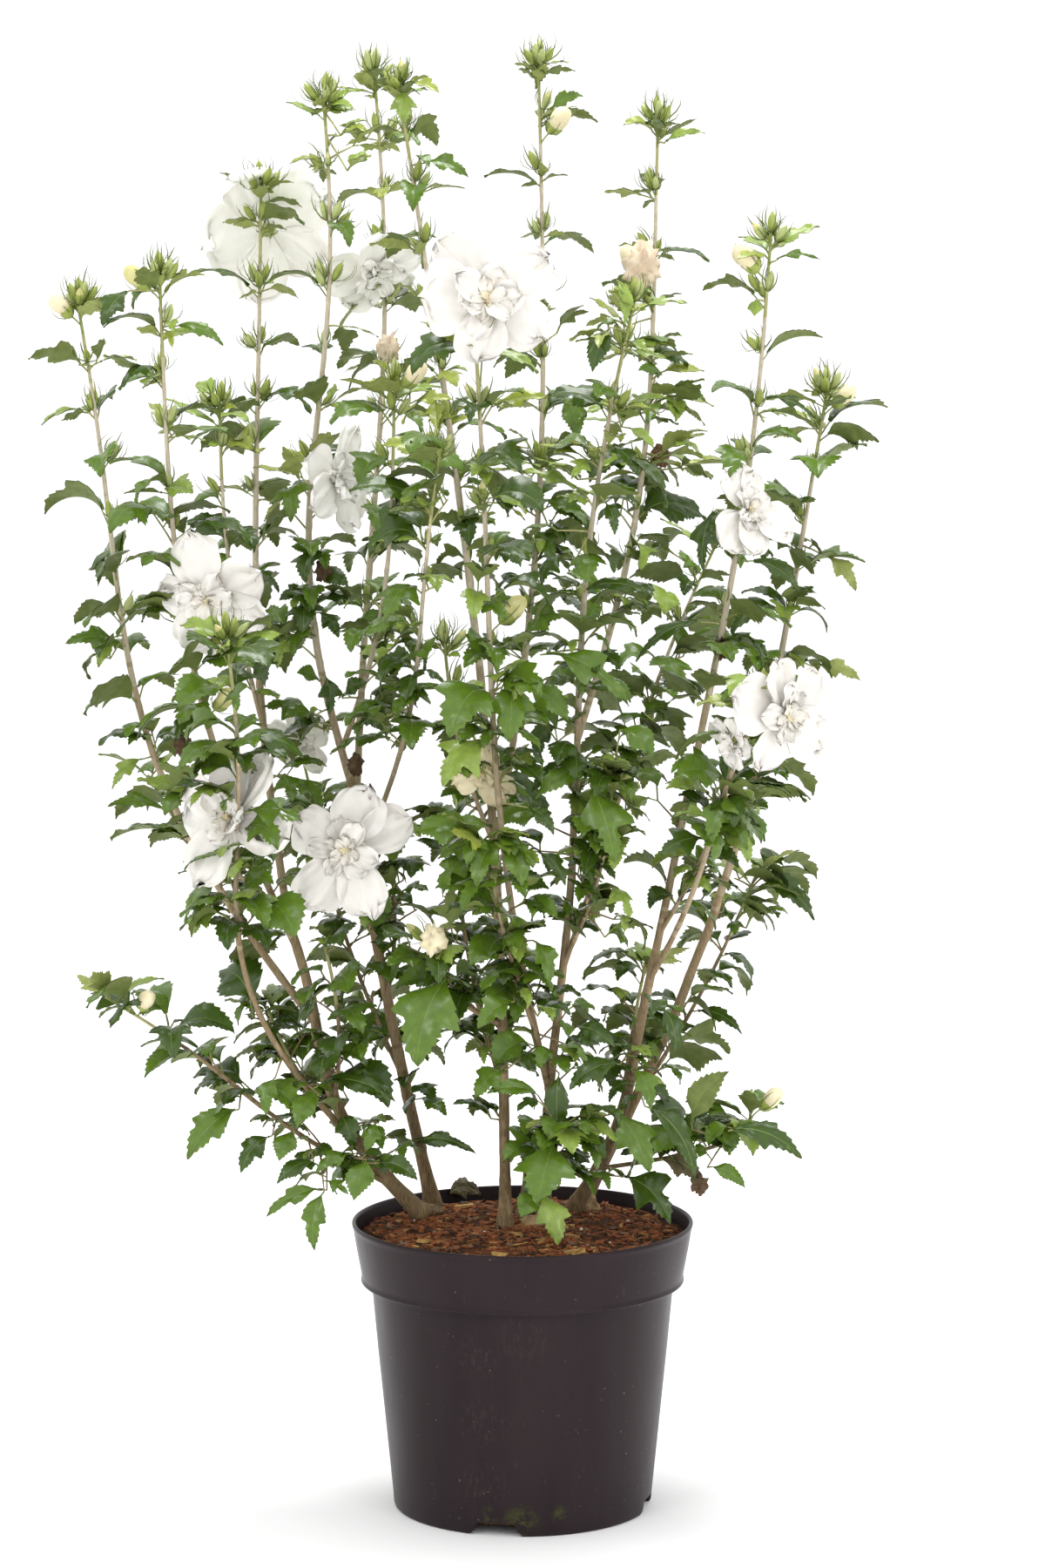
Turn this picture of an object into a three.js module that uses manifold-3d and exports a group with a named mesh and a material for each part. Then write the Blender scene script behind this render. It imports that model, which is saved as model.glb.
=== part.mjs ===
// Rose of sharon (Hibiscus syriacus) with double white blooms: a fan of tall leafy whips in a nursery pot.
// Millimetres, +Z up. The origin is the middle of the pot's flat underside, on the floor; -Y is the front.
//
// Stems stand on the soil and boughs leave the stems. A limb's top runs out into a mass: a leafy shoot with
// spurs, leaves, buds and blooms, all one body. Tufts are smaller masses that spring from a limb's side.
// Every mass keeps to the space that is nearer to its own shoot than to any other.

import * as THREE from "three";
import { mergeVertices } from "three/addons/utils/BufferGeometryUtils.js";
import Module from "manifold-3d";

const wasm = await Module();
wasm.setup();

const GAP = 0.3; // between any two bodies that meet
const GRID = 1e-3; // corners are rounded to this
const WELD = 1e-4; // corners nearer than this are one corner
const UP = new THREE.Vector3(0, 0, 1);
const GOLDEN_TURN = THREE.MathUtils.degToRad(137.5);
const FIRST_SEED = 1000;

// ---------------------------------------------------------------- driving dimensions

const POT = {
  height: 288,
  rimRadius: 170,
  collarHeight: 61,
  collarFootRadius: 160,
  bodyTopRadius: 151,
  footRadius: 129,
  wall: 2.6,
  base: 3.4,
  lip: 4.5,
  edge: 1.5, // bevel of the collar and rim
  footEdge: 3,
  segments: 32,
  notches: 4,
  notchTurn: -102, // degrees from +X to the first drain notch
  notchWidth: 46,
  notchHeight: 14,
  notchDepth: 20,
};

const SOIL = { edge: 271, top: 282, shoulderRadius: 118, play: 0.5, segments: 24 };

const FLARE = { extra: 3.4, fade: 22 }; // how much a stem thickens at the soil, and how fast that fades

// Stems rise from the soil. foot: x, y on the soil. tip: x, y, z. A limb is its straight chord plus a bow
// (half a wave, x and y) and a sway (a whole wave, x). leafy: the share where the leaves take over.
// girth: radius at the foot and at the tip.
const STEMS = {
  left_stem: {
    foot: [-98, 40], tip: [-231, -10, 589], bow: [-32, 0],
    sway: -10, leafy: 1, girth: [8.2, 5],
  },
  back_left_stem: {
    foot: [-90, 84], tip: [-170, 30, 722], bow: [-6, 0],
    sway: 0, leafy: 1, girth: [7.6, 4.6],
  },
  centre_stem: {
    foot: [-17, -12], tip: [-121, 40, 1406], bow: [26, -10],
    sway: 2, leafy: 0.56, girth: [6.6, 1.4],
  },
  short_stem: {
    foot: [-2, 34], tip: [2, 40, 366], bow: [3, 0],
    sway: 0, leafy: 1, girth: [3.4, 2.2],
  },
  middle_stem: {
    foot: [22, 20], tip: [29, -14, 448], bow: [-2, 0],
    sway: 0, leafy: 1, girth: [7, 5.2],
  },
  right_stem: {
    foot: [49, 58], tip: [130, 0, 548], bow: [16, 0],
    sway: 4, leafy: 1, girth: [7.6, 5],
  },
  back_right_stem: {
    foot: [60, 92], tip: [306, 130, 1107], bow: [46, 10],
    sway: 5, leafy: 0.46, girth: [7, 1.4],
  },
};

// Boughs leave a parent limb at a share of its length; 1 carries on from its tip.
const BOUGHS = {
  inner_left_bough: {
    from: ["left_stem", 1], tip: [-264, 170, 1312], bow: [-19, 0],
    sway: -4, leafy: 0.3, girth: [4.6, 1.4],
  },
  left_bough: {
    from: ["left_stem", 0.9], tip: [-341, -150, 1220], bow: [-43, -10],
    sway: -4, leafy: 0.33, girth: [4, 1.4],
  },
  far_left_bough: {
    from: ["left_stem", 0.66], tip: [-437, 40, 1195], bow: [-67, 0],
    sway: -15, leafy: 0.36, girth: [4.6, 1.4],
  },
  front_left_bough: {
    from: ["left_stem", 0.22], tip: [-274, -250, 888], bow: [-59, -20],
    sway: -19, leafy: 0.42, girth: [4, 1.4],
  },
  low_left_bough: {
    from: ["left_stem", 0.1], tip: [-406, -80, 526], bow: [-5, -10],
    sway: -8, leafy: 0.45, girth: [3.4, 1.3],
  },
  tall_left_bough: {
    from: ["back_left_stem", 1], tip: [-190, -60, 1390], bow: [-23, 0],
    sway: -15, leafy: 0.24, girth: [4.2, 1.4],
  },
  back_left_bough: {
    from: ["back_left_stem", 0.93], tip: [-151, 230, 1427], bow: [13, 30],
    sway: -5, leafy: 0.24, girth: [4, 1.4],
  },
  slim_left_bough: {
    from: ["tall_left_bough", 0.05], tip: [-122, -106, 1119], bow: [19, -10],
    sway: 2, leafy: 0.24, girth: [3, 1.3],
  },
  slim_centre_bough: {
    from: ["back_left_stem", 0.84], tip: [-78, -212, 1056], bow: [18, -34],
    sway: 5, leafy: 0.26, girth: [3, 1.3],
  },
  inner_right_bough: {
    from: ["middle_stem", 1], tip: [104, -170, 1196], bow: [-12, 10],
    sway: 8, leafy: 0.48, girth: [5, 1.4],
  },
  front_bough: {
    from: ["middle_stem", 0.82], tip: [-44, -230, 1173], bow: [-19, -20],
    sway: -5, leafy: 0.4, girth: [4.2, 1.6],
  },
  back_bough: {
    from: ["centre_stem", 0.33], tip: [16, 150, 1432], bow: [24, 24],
    sway: 2, leafy: 0.22, girth: [3.8, 1.4],
  },
  rear_right_bough: {
    from: ["inner_right_bough", 0.13], tip: [203, 260, 950], bow: [-7, 20],
    sway: 3, leafy: 0.4, girth: [3.2, 1.3],
  },
  tall_right_bough: {
    from: ["inner_right_bough", 0.44], tip: [134, 90, 1374], bow: [29, 20],
    sway: 4, leafy: 0.18, girth: [3.6, 1.4],
  },
  right_bough: {
    from: ["right_stem", 1], tip: [238, -60, 1258], bow: [15, 0],
    sway: -3, leafy: 0.34, girth: [4.6, 1.4],
  },
  front_right_bough: {
    from: ["right_stem", 0.93], tip: [228, -210, 831], bow: [2, -12],
    sway: 5, leafy: 0.45, girth: [3.4, 1.8],
  },
};

// Tufts spring from a limb's side at the first share and end beside the second, out of the limb by x, y, z.
const TUFTS = {
  low_left_tuft: { on: "left_stem", between: [0.24, 0.7], out: [-48, 34, 0] },
  left_front_tuft: { on: "left_stem", between: [0.4, 0.98], out: [34, -54, 0] },
  far_left_tuft: { on: "far_left_bough", between: [0.06, 0.34], out: [-20, 52, 0] },
  left_tuft: { on: "left_bough", between: [0.04, 0.26], out: [-30, -52, 0] },
  left_shoot: { on: "inner_left_bough", between: [0.26, 0.7], out: [-30, -120, 0] },
  back_left_low_tuft: { on: "back_left_stem", between: [0.3, 0.94], out: [-44, 56, 0] },
  back_left_high_tuft: { on: "back_left_stem", between: [0.5, 0.9], out: [30, -74, 6] },
  centre_twig: { on: "centre_stem", between: [0.18, 0.24], out: [-66, -76, 26] },
  centre_low_tuft: { on: "centre_stem", between: [0.12, 0.36], out: [-38, 44, 0] },
  centre_high_tuft: { on: "centre_stem", between: [0.34, 0.52], out: [-30, -64, 0] },
  front_tuft: { on: "front_bough", between: [0.08, 0.36], out: [-16, -46, 0] },
  inner_right_tuft: { on: "inner_right_bough", between: [0.14, 0.38], out: [34, -40, 0] },
  low_front_tuft: { on: "middle_stem", between: [0.16, 0.8], out: [8, -64, -20] },
  low_right_twig: { on: "right_stem", between: [0.18, 0.42], out: [126, -72, 6] },
  right_tuft: { on: "right_stem", between: [0.4, 0.96], out: [-4, 58, 0] },
  right_high_tuft: { on: "right_bough", between: [0.04, 0.3], out: [34, -30, 0] },
  back_right_tuft: { on: "back_right_stem", between: [0.12, 0.4], out: [34, 44, 0] },
};

const TUFT = { girth: [2.4, 1.4], bow: 0.3 }; // bow: as a share of its way out
const LIMB = { sides: 6, step: 62 }; // step: length of one straight stretch
const SHOOT = { sides: 3, step: 75, firstNode: 14, firstTuftNode: 30 }; // nodes are measured from its foot

// How the foliage changes with the height above the floor: [height, value] at each turning point.
const LEAF_LENGTH = [[300, 66], [560, 74], [800, 98], [1080, 94], [1300, 78], [1440, 56]];
const NODE_SPACING = [[300, 32], [700, 42], [1000, 50], [1150, 60], [1400, 56]];
const COMPANION_CHANCE = [[300, 0.56], [900, 0.56], [1060, 0.3], [1200, 0.06], [1400, 0]];
const SPUR_CHANCE = [[300, 0.16], [900, 0.16], [1060, 0.1], [1180, 0.03], [1400, 0]];
const BUD_CHANCE = [[300, 0], [900, 0.04], [1060, 0.2], [1200, 0.45], [1400, 0.5]];

// Blades. width, arch, widest: as shares of the length. drop and crest: how far the edges lie below the
// middle line and the ridge above it, as shares of the width. lift: degrees above the horizontal.
const LEAF = { width: 0.5, arch: 0.13, widest: 0.56, drop: 0.03, crest: 0.04, lift: [4, 32] };
const BUD = { width: 0.4, arch: 0, widest: 0.62, drop: 0.29, crest: 0.58, lift: [48, 72], length: 31 };

// One node of a shoot. Companions are smaller leaves to either side of its leaf. Turns are in radians.
const NODE = {
  leafSize: [0.86, 1.14],
  companion: { size: 0.84, turn: [1.1, 1.7], step: 4 },
  spur: { turn: [0.8 * Math.PI, 1.2 * Math.PI], below: 8 },
  bud: { turn: 0.5, above: 9 },
  spacing: [0.85, 1.15],
  wander: 0.4,
};

// A spur is a short side twig with two leaves fanned out near its end (degrees).
const SPUR = {
  length: [18, 42],
  radius: 1.6,
  lift: [25, 60],
  leaf: { size: 0.84, fan: [42, 78], lift: [4, 30], below: { 1: 2, [-1]: 7 } },
};

// A shoot's tip: young leaves and, higher up, a cluster of buds, each rooted a step below the one before.
const TIP = {
  inset: 4,
  step: 4,
  leaves: 3,
  leafSize: 0.8,
  leafLift: [14, 40],
  budLifts: [86, 50],
  budTurn: 0.6,
  budsAbove: 800,
};

// How far a piece stays off its neighbours. ownBloom: the share of a bloom that its own mass keeps out of.
const SPACE = { betweenMasses: 2.5, toLimb: 4, toBloom: 3, betweenLeaves: 6, ownBloom: 0.55 };
const NUDGES = [0, 30, -30, 65, -65, 105, -105]; // turns that a blade tries, in degrees
const LIMB_PATH_POINTS = 10;

// Blooms: the mass, the share of it where the stalk leaves, the centre x, y, z, the way it faces (degrees:
// turn from the front towards +X, and lift), the diameter, and how open it is (1 is full).
const BLOOMS = [
  { on: "inner_left_bough", at: 0.93, centre: [-262, 208, 1276], face: [-160, 30], width: 122, open: 1 },
  { on: "back_left_bough", at: 0.8, centre: [-146, 160, 1222], face: [30, -35], width: 92, open: 0.9 },
  { on: "front_bough", at: 0.985, centre: [-32, -256, 1203], face: [6, 12], width: 128, open: 1 },
  { on: "tall_left_bough", at: 0.44, centre: [-172, -44, 1030], face: [74, 0], width: 90, open: 0.9 },
  { on: "left_bough", at: 0.5, centre: [-302, -136, 914], face: [-22, -18], width: 100, open: 1 },
  { on: "right_bough", at: 0.62, centre: [219, -112, 1003], face: [34, 20], width: 86, open: 0.9 },
  { on: "front_right_bough", at: 0.97, centre: [250, -232, 815], face: [38, -8], width: 112, open: 1 },
  { on: "front_right_bough", at: 0.7, centre: [196, -196, 786], face: [-60, -20], width: 56, open: 0.8 },
  { on: "back_left_high_tuft", at: 0.92, centre: [-171, -112, 674], face: [-4, 4], width: 128, open: 1 },
  { on: "left_tuft", at: 0.9, centre: [-282, -128, 712], face: [-38, 10], width: 96, open: 0.9 },
  { on: "back_left_low_tuft", at: 0.99, centre: [-222, 98, 760], face: [20, 20], width: 58, open: 0.8 },
  { on: "centre_high_tuft", at: 0.8, centre: [-38, -62, 746], face: [-20, -24], width: 54, open: 0.8 },
];

// The form of a bloom, as shares of its radius; height is measured along the way it faces.
const BLOOM = {
  petals: 5,
  back: -0.5,
  heart: 0.34,
  petalTip: 0.02,
  notch: { ring: 0.84, height: 0.12 },
  ruffle: { ring: 0.5, height: 0.5 },
  stalkInto: 0.3,
  stalkRadius: 1.9,
};

// Blooms still rolled up: the mass, the share of it, the side the bud leans to (degrees) and its length.
const CREAM_BUDS = [
  { on: "right_bough", at: 0.94, side: 215, length: 50 },
  { on: "left_bough", at: 0.97, side: 190, length: 42 },
  { on: "back_bough", at: 0.9, side: 320, length: 46 },
  { on: "slim_left_bough", at: 0.97, side: 330, length: 44 },
  { on: "front_bough", at: 0.62, side: 20, length: 46 },
  { on: "far_left_bough", at: 0.97, side: 200, length: 40 },
  { on: "back_right_stem", at: 0.97, side: 350, length: 42 },
  { on: "tall_right_bough", at: 0.74, side: 200, length: 44 },
  { on: "left_bough", at: 0.36, side: 330, length: 40 },
  { on: "centre_twig", at: 0.95, side: 200, length: 38 },
  { on: "low_left_bough", at: 0.9, side: 300, length: 38 },
  { on: "low_right_twig", at: 0.97, side: 350, length: 40 },
];
const CREAM_BUD_LIFT = 44;

const COLOURS = {
  pot: { color: "#34333a", roughness: 0.46, metalness: 0 },
  soil: { color: "#6e3a22", roughness: 0.96, metalness: 0 },
  stem: { color: "#a08a72", roughness: 0.86, metalness: 0 },
  bough: { color: "#b9a283", roughness: 0.84, metalness: 0 },
  leaves: { color: "#4f7a37", roughness: 0.5, metalness: 0 },
};

// ---------------------------------------------------------------- chance and profiles

function seeded(seed) {
  let state = seed >>> 0;
  return () => {
    state = (state + 0x6d2b79f5) >>> 0;
    let mixed = Math.imul(state ^ (state >>> 15), state | 1);
    mixed ^= mixed + Math.imul(mixed ^ (mixed >>> 7), mixed | 61);
    return ((mixed ^ (mixed >>> 14)) >>> 0) / 4294967296;
  };
}

// The value of a profile of [height, value] turning points at one height, straight between them.
function profileAt(profile, height) {
  for (let i = 1; i < profile.length; i++) {
    const [low, from] = profile[i - 1];
    const [high, to] = profile[i];
    if (height <= high || i === profile.length - 1) {
      const share = THREE.MathUtils.clamp((height - low) / (high - low), 0, 1);
      return THREE.MathUtils.lerp(from, to, share);
    }
  }
  return profile[0][1];
}

// A direction from its turn about Z (radians from +X) and its lift above the horizontal (degrees).
function heading(turn, lift) {
  const raised = THREE.MathUtils.degToRad(lift);
  const level = Math.cos(raised);
  return new THREE.Vector3(Math.cos(turn) * level, Math.sin(turn) * level, Math.sin(raised));
}

// ---------------------------------------------------------------- solids

function solidOf(geometry) {
  geometry.deleteAttribute("normal");
  geometry.deleteAttribute("uv");
  const merged = mergeVertices(geometry, WELD);
  const vertProperties = merged.attributes.position.array;
  const triVerts = new Uint32Array(merged.index.array);
  return new wasm.Manifold(new wasm.Mesh({ numProp: 3, vertProperties, triVerts }));
}

// A solid's corners on a fine grid, with the faces that shrink to nothing left out.
function onGrid(solid) {
  const mesh = solid.getMesh();
  const corners = new Map();
  const positions = [];
  const cornerOf = Array.from({ length: mesh.numVert }, (_, i) => {
    const point = [0, 1, 2].map((k) => Math.round(mesh.vertProperties[i * mesh.numProp + k] / GRID));
    const key = point.join();
    if (!corners.has(key)) {
      corners.set(key, corners.size);
      positions.push(...point.map((step) => step * GRID));
    }
    return corners.get(key);
  });
  const faces = [];
  for (let i = 0; i < mesh.triVerts.length; i += 3) {
    const [a, b, c] = [0, 1, 2].map((k) => cornerOf[mesh.triVerts[i + k]]);
    if (a !== b && b !== c && c !== a) {
      faces.push(a, b, c);
    }
  }
  return { positions, faces };
}

// True where each edge is shared by exactly two faces, so that no seam is finer than the grid.
function isClosed({ faces }) {
  const edges = new Set();
  for (let i = 0; i < faces.length; i += 3) {
    for (let k = 0; k < 3; k++) {
      const edge = `${faces[i + k]} ${faces[i + ((k + 1) % 3)]}`;
      if (edges.has(edge)) {
        return false;
      }
      edges.add(edge);
    }
  }
  return [...edges].every((edge) => edges.has(edge.split(" ").reverse().join(" ")));
}

function geometryOf(solid) {
  const { positions, faces } = onGrid(solid);
  const geometry = new THREE.BufferGeometry();
  geometry.setAttribute("position", new THREE.BufferAttribute(new Float32Array(positions), 3));
  geometry.setIndex(faces);
  geometry.computeVertexNormals();
  return geometry;
}

// The largest body of a solid, without the scraps that a cut leaves behind.
function largestBody(solid) {
  const bodies = solid.decompose();
  return bodies.reduce((best, body) => (body.volume() > best.volume() ? body : best));
}

function solidFromFaces(points, faces) {
  const geometry = new THREE.BufferGeometry().setFromPoints(points);
  geometry.setIndex(faces.flat());
  return solidOf(geometry);
}

// ---------------------------------------------------------------- limbs

class LimbCurve extends THREE.Curve {
  constructor(foot, tip, bow, sway) {
    super();
    this.foot = foot;
    this.tip = tip;
    this.bow = new THREE.Vector3(bow[0], bow[1], 0);
    this.sway = new THREE.Vector3(sway, 0, 0);
  }
  getPoint(share, target = new THREE.Vector3()) {
    return target
      .copy(this.foot)
      .addScaledVector(this.tip.clone().sub(this.foot), share)
      .addScaledVector(this.bow, Math.sin(Math.PI * share))
      .addScaledVector(this.sway, Math.sin(2 * Math.PI * share));
  }
  getTangent(share, target = new THREE.Vector3()) {
    return target
      .subVectors(this.tip, this.foot)
      .addScaledVector(this.bow, Math.PI * Math.cos(Math.PI * share))
      .addScaledVector(this.sway, 2 * Math.PI * Math.cos(2 * Math.PI * share))
      .normalize();
  }
}

// A closed tube bent along a curve between two shares of it; levelFoot cuts its foot flat.
function tube(curve, from, to, radiusAt, sides, steps, levelFoot = false) {
  const geometry = new THREE.CylinderGeometry(1, 1, 1, sides, steps);
  const position = geometry.attributes.position;
  const chord = curve.getPoint(to).sub(curve.getPoint(from)).normalize();
  const reference = Math.abs(chord.y) < 0.8 ? new THREE.Vector3(0, 1, 0) : new THREE.Vector3(1, 0, 0);
  for (let i = 0; i < position.count; i++) {
    const share = THREE.MathUtils.lerp(from, to, position.getY(i) + 0.5);
    const along = levelFoot && share === from ? UP.clone() : curve.getTangent(share);
    const across = new THREE.Vector3().crossVectors(reference, along).normalize();
    const side = new THREE.Vector3().crossVectors(across, along);
    const radius = radiusAt(share);
    const point = curve
      .getPoint(share)
      .addScaledVector(across, position.getX(i) * radius)
      .addScaledVector(side, position.getZ(i) * radius);
    position.setXYZ(i, point.x, point.y, point.z);
  }
  return solidOf(geometry);
}

function limbFrom(name, size, foot, parent) {
  const curve = new LimbCurve(foot, new THREE.Vector3(...size.tip), size.bow, size.sway);
  const standing = !parent;
  const radiusAt = (share) => {
    const rise = curve.getPoint(share).z - foot.z;
    const flare = standing ? FLARE.extra * Math.exp(-rise / FLARE.fade) : 0;
    return THREE.MathUtils.lerp(...size.girth, share) + flare;
  };
  const length = curve.foot.distanceTo(curve.tip);
  return { name, curve, radiusAt, leafy: size.leafy, length, standing, parent };
}

function layOutLimbs() {
  const limbs = new Map();
  for (const [name, size] of Object.entries(STEMS)) {
    const foot = new THREE.Vector3(size.foot[0], size.foot[1], SOIL.top + GAP);
    limbs.set(name, limbFrom(name, size, foot, null));
  }
  for (const [name, size] of Object.entries(BOUGHS)) {
    const parent = limbs.get(size.from[0]);
    limbs.set(name, limbFrom(name, size, parent.curve.getPoint(size.from[1]), parent));
  }
  return limbs;
}

// A limb's bare part; swell makes it that much larger all round.
function limbSolid(limb, swell = 0) {
  const end = limb.leafy + swell / limb.length;
  const steps = Math.max(2, Math.round((limb.length * limb.leafy) / LIMB.step));
  const radiusAt = (share) => limb.radiusAt(share) + swell;
  return tube(limb.curve, 0, end, radiusAt, LIMB.sides, steps, limb.standing);
}

// A bough is cut 0.3 mm clear of its parent and of the boughs that leave the same parent before it.
function cutClear(solid, neighbours) {
  const cut = neighbours.reduce((rest, limb) => rest.subtract(limbSolid(limb, GAP)), solid);
  return largestBody(cut);
}

// ---------------------------------------------------------------- masses: space

// A limb's bare part as points with radii.
function limbPath(limb) {
  return Array.from({ length: LIMB_PATH_POINTS }, (_, i) => {
    const share = (limb.leafy * i) / (LIMB_PATH_POINTS - 1);
    return { point: limb.curve.getPoint(share), radius: limb.radiusAt(share) };
  });
}

// How far a point is from the surface of a path of points with radii.
function distanceTo(path, point) {
  const line = new THREE.Line3();
  const nearest = new THREE.Vector3();
  let best = Infinity;
  for (let i = 1; i < path.length; i++) {
    line.set(path[i - 1].point, path[i].point);
    const share = line.closestPointToPointParameter(point, true);
    line.at(share, nearest);
    const radius = THREE.MathUtils.lerp(path[i - 1].radius, path[i].radius, share);
    best = Math.min(best, nearest.distanceTo(point) - radius);
  }
  return best;
}

// True where a point is nearer to its own shoot than to any other, and off every limb and bloom.
function isOwnSpace(point, mass, world) {
  const own = distanceTo(mass.path, point) + SPACE.betweenMasses;
  if (world.masses.some((other) => other !== mass && distanceTo(other.path, point) < own)) {
    return false;
  }
  if (world.limbPaths.some((path) => distanceTo(path, point) < SPACE.toLimb)) {
    return false;
  }
  return world.blooms.every((bloom) => {
    const reach = bloom.on === mass.name ? SPACE.ownBloom : 1;
    return bloom.middle.distanceTo(point) > (bloom.width / 2) * reach + SPACE.toBloom;
  });
}

// ---------------------------------------------------------------- masses: leaves, buds, blooms

// A blade of six faces, for a leaf or a bud: its root, tip, two edges and a ridge, arched along its length.
function bladeOf(kind, root, along, length) {
  const across = new THREE.Vector3().crossVectors(along, UP).normalize();
  const over = new THREE.Vector3().crossVectors(across, along);
  const width = kind.width * length;
  const rise = kind.arch * length;
  const middle = root.clone().addScaledVector(along, kind.widest * length).addScaledVector(over, rise);
  const lowered = middle.clone().addScaledVector(over, -kind.drop * width);
  const edge = (side) => lowered.clone().addScaledVector(across, (side * width) / 2);
  const ridge = middle.clone().addScaledVector(over, kind.crest * width);
  const tip = root.clone().addScaledVector(along, length).addScaledVector(over, -rise / 2);
  return { root, tip, left: edge(-1), right: edge(1), ridge, middle };
}

const BLADE_FACES = [[0, 4, 2], [0, 3, 4], [1, 2, 4], [1, 4, 3], [0, 2, 3], [1, 3, 2]];

function bladeSolid(blade) {
  return solidFromFaces([blade.root, blade.tip, blade.left, blade.right, blade.ridge], BLADE_FACES);
}

// Points spread over a blade, close enough together that nothing slips between them.
function bladeSamples(blade) {
  const middle = blade.middle;
  const samples = [];
  for (const edge of [blade.left, middle, blade.right]) {
    samples.push(edge.clone());
    samples.push(edge.clone().lerp(blade.tip, 0.33));
    samples.push(edge.clone().lerp(blade.tip, 0.66));
    samples.push(edge.clone().lerp(blade.root, 0.4));
  }
  samples.push(blade.left.clone().lerp(middle, 0.5));
  samples.push(blade.right.clone().lerp(middle, 0.5));
  samples.push(blade.tip.clone());
  return samples;
}

function isFree(point, mass, world) {
  const crowded = mass.taken.some((spot) => spot.distanceTo(point) < SPACE.betweenLeaves);
  return !crowded && isOwnSpace(point, mass, world);
}

// Tries a blade at a few turns about its shoot and keeps the first that has room.
function addBlade(mass, world, kind, root, turn, lift, length) {
  for (const nudge of NUDGES) {
    const along = heading(turn + THREE.MathUtils.degToRad(nudge), lift);
    const blade = bladeOf(kind, root, along, length);
    const samples = bladeSamples(blade);
    if (samples.every((point) => isFree(point, mass, world))) {
      mass.taken.push(...samples);
      mass.solids.push(bladeSolid(blade));
      return;
    }
  }
}

function addSpur(mass, world, root, turn, draws, leafLength) {
  const length = THREE.MathUtils.lerp(...SPUR.length, draws[1]);
  const along = heading(turn, THREE.MathUtils.lerp(...SPUR.lift, draws[0]));
  const end = root.clone().addScaledVector(along, length);
  const half = root.clone().addScaledVector(along, length / 2);
  if (![half, end].every((point) => isOwnSpace(point, mass, world))) {
    return;
  }
  mass.solids.push(tube(new THREE.LineCurve3(root, end), 0, 1, () => SPUR.radius, SHOOT.sides, 1));
  const { size, fan, lift, below } = SPUR.leaf;
  for (const [side, draw] of [[1, draws[2]], [-1, draws[3]]]) {
    const sunk = end.clone().addScaledVector(along, -below[side]);
    const spread = THREE.MathUtils.degToRad(THREE.MathUtils.lerp(...fan, draw));
    const raised = THREE.MathUtils.lerp(...lift, draw);
    addBlade(mass, world, LEAF, sunk, turn + side * spread, raised, leafLength * size);
  }
}

function facingOf(bloom) {
  return heading(THREE.MathUtils.degToRad(bloom.face[0] - 90), bloom.face[1]);
}

// The rings of a bloom: its back and heart, petal tips and the notches between them, and the ruffled middle.
function bloomPoints(bloom) {
  const facing = facingOf(bloom);
  const across = new THREE.Vector3().crossVectors(UP, facing).normalize();
  const over = new THREE.Vector3().crossVectors(facing, across);
  const radius = bloom.width / 2;
  const cup = 1 - bloom.open;
  const at = (ring, petal, height) => {
    const angle = (petal * 2 * Math.PI) / BLOOM.petals;
    return bloom.middle
      .clone()
      .addScaledVector(across, Math.cos(angle) * ring * radius)
      .addScaledVector(over, Math.sin(angle) * ring * radius)
      .addScaledVector(facing, height * radius);
  };
  const points = [at(0, 0, BLOOM.back), at(0, 0, BLOOM.heart)];
  for (let i = 0; i < BLOOM.petals; i++) {
    points.push(at(1, i, BLOOM.petalTip + cup));
    points.push(at(BLOOM.notch.ring, i + 0.5, BLOOM.notch.height + cup));
  }
  for (let i = 0; i < BLOOM.petals; i++) {
    points.push(at(BLOOM.ruffle.ring, i, BLOOM.ruffle.height + cup));
  }
  return points;
}

// A double bloom: broad outer petals round a raised ruffled middle, closed behind to the calyx.
function bloomSolid(bloom) {
  const rim = 2 * BLOOM.petals;
  const back = 0;
  const heart = 1;
  const outer = (i) => 2 + (i % rim);
  const inner = (i) => 2 + rim + (i % BLOOM.petals);
  const faces = [];
  for (let i = 0; i < BLOOM.petals; i++) {
    const [tip, notch, next] = [outer(2 * i), outer(2 * i + 1), outer(2 * i + 2)];
    faces.push([back, notch, tip], [back, next, notch]);
    faces.push([tip, notch, inner(i)], [notch, inner(i + 1), inner(i)]);
    faces.push([notch, next, inner(i + 1)], [heart, inner(i), inner(i + 1)]);
  }
  return solidFromFaces(bloomPoints(bloom), faces);
}

function addBloom(mass, bloom) {
  const root = mass.rootAt(bloom.at);
  const calyx = bloom.middle.clone();
  calyx.addScaledVector(facingOf(bloom), (-BLOOM.stalkInto * bloom.width) / 2);
  mass.solids.push(tube(new THREE.LineCurve3(root, calyx), 0, 1, () => BLOOM.stalkRadius, SHOOT.sides, 1));
  mass.solids.push(bloomSolid(bloom));
}

// ---------------------------------------------------------------- masses: growth

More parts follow.
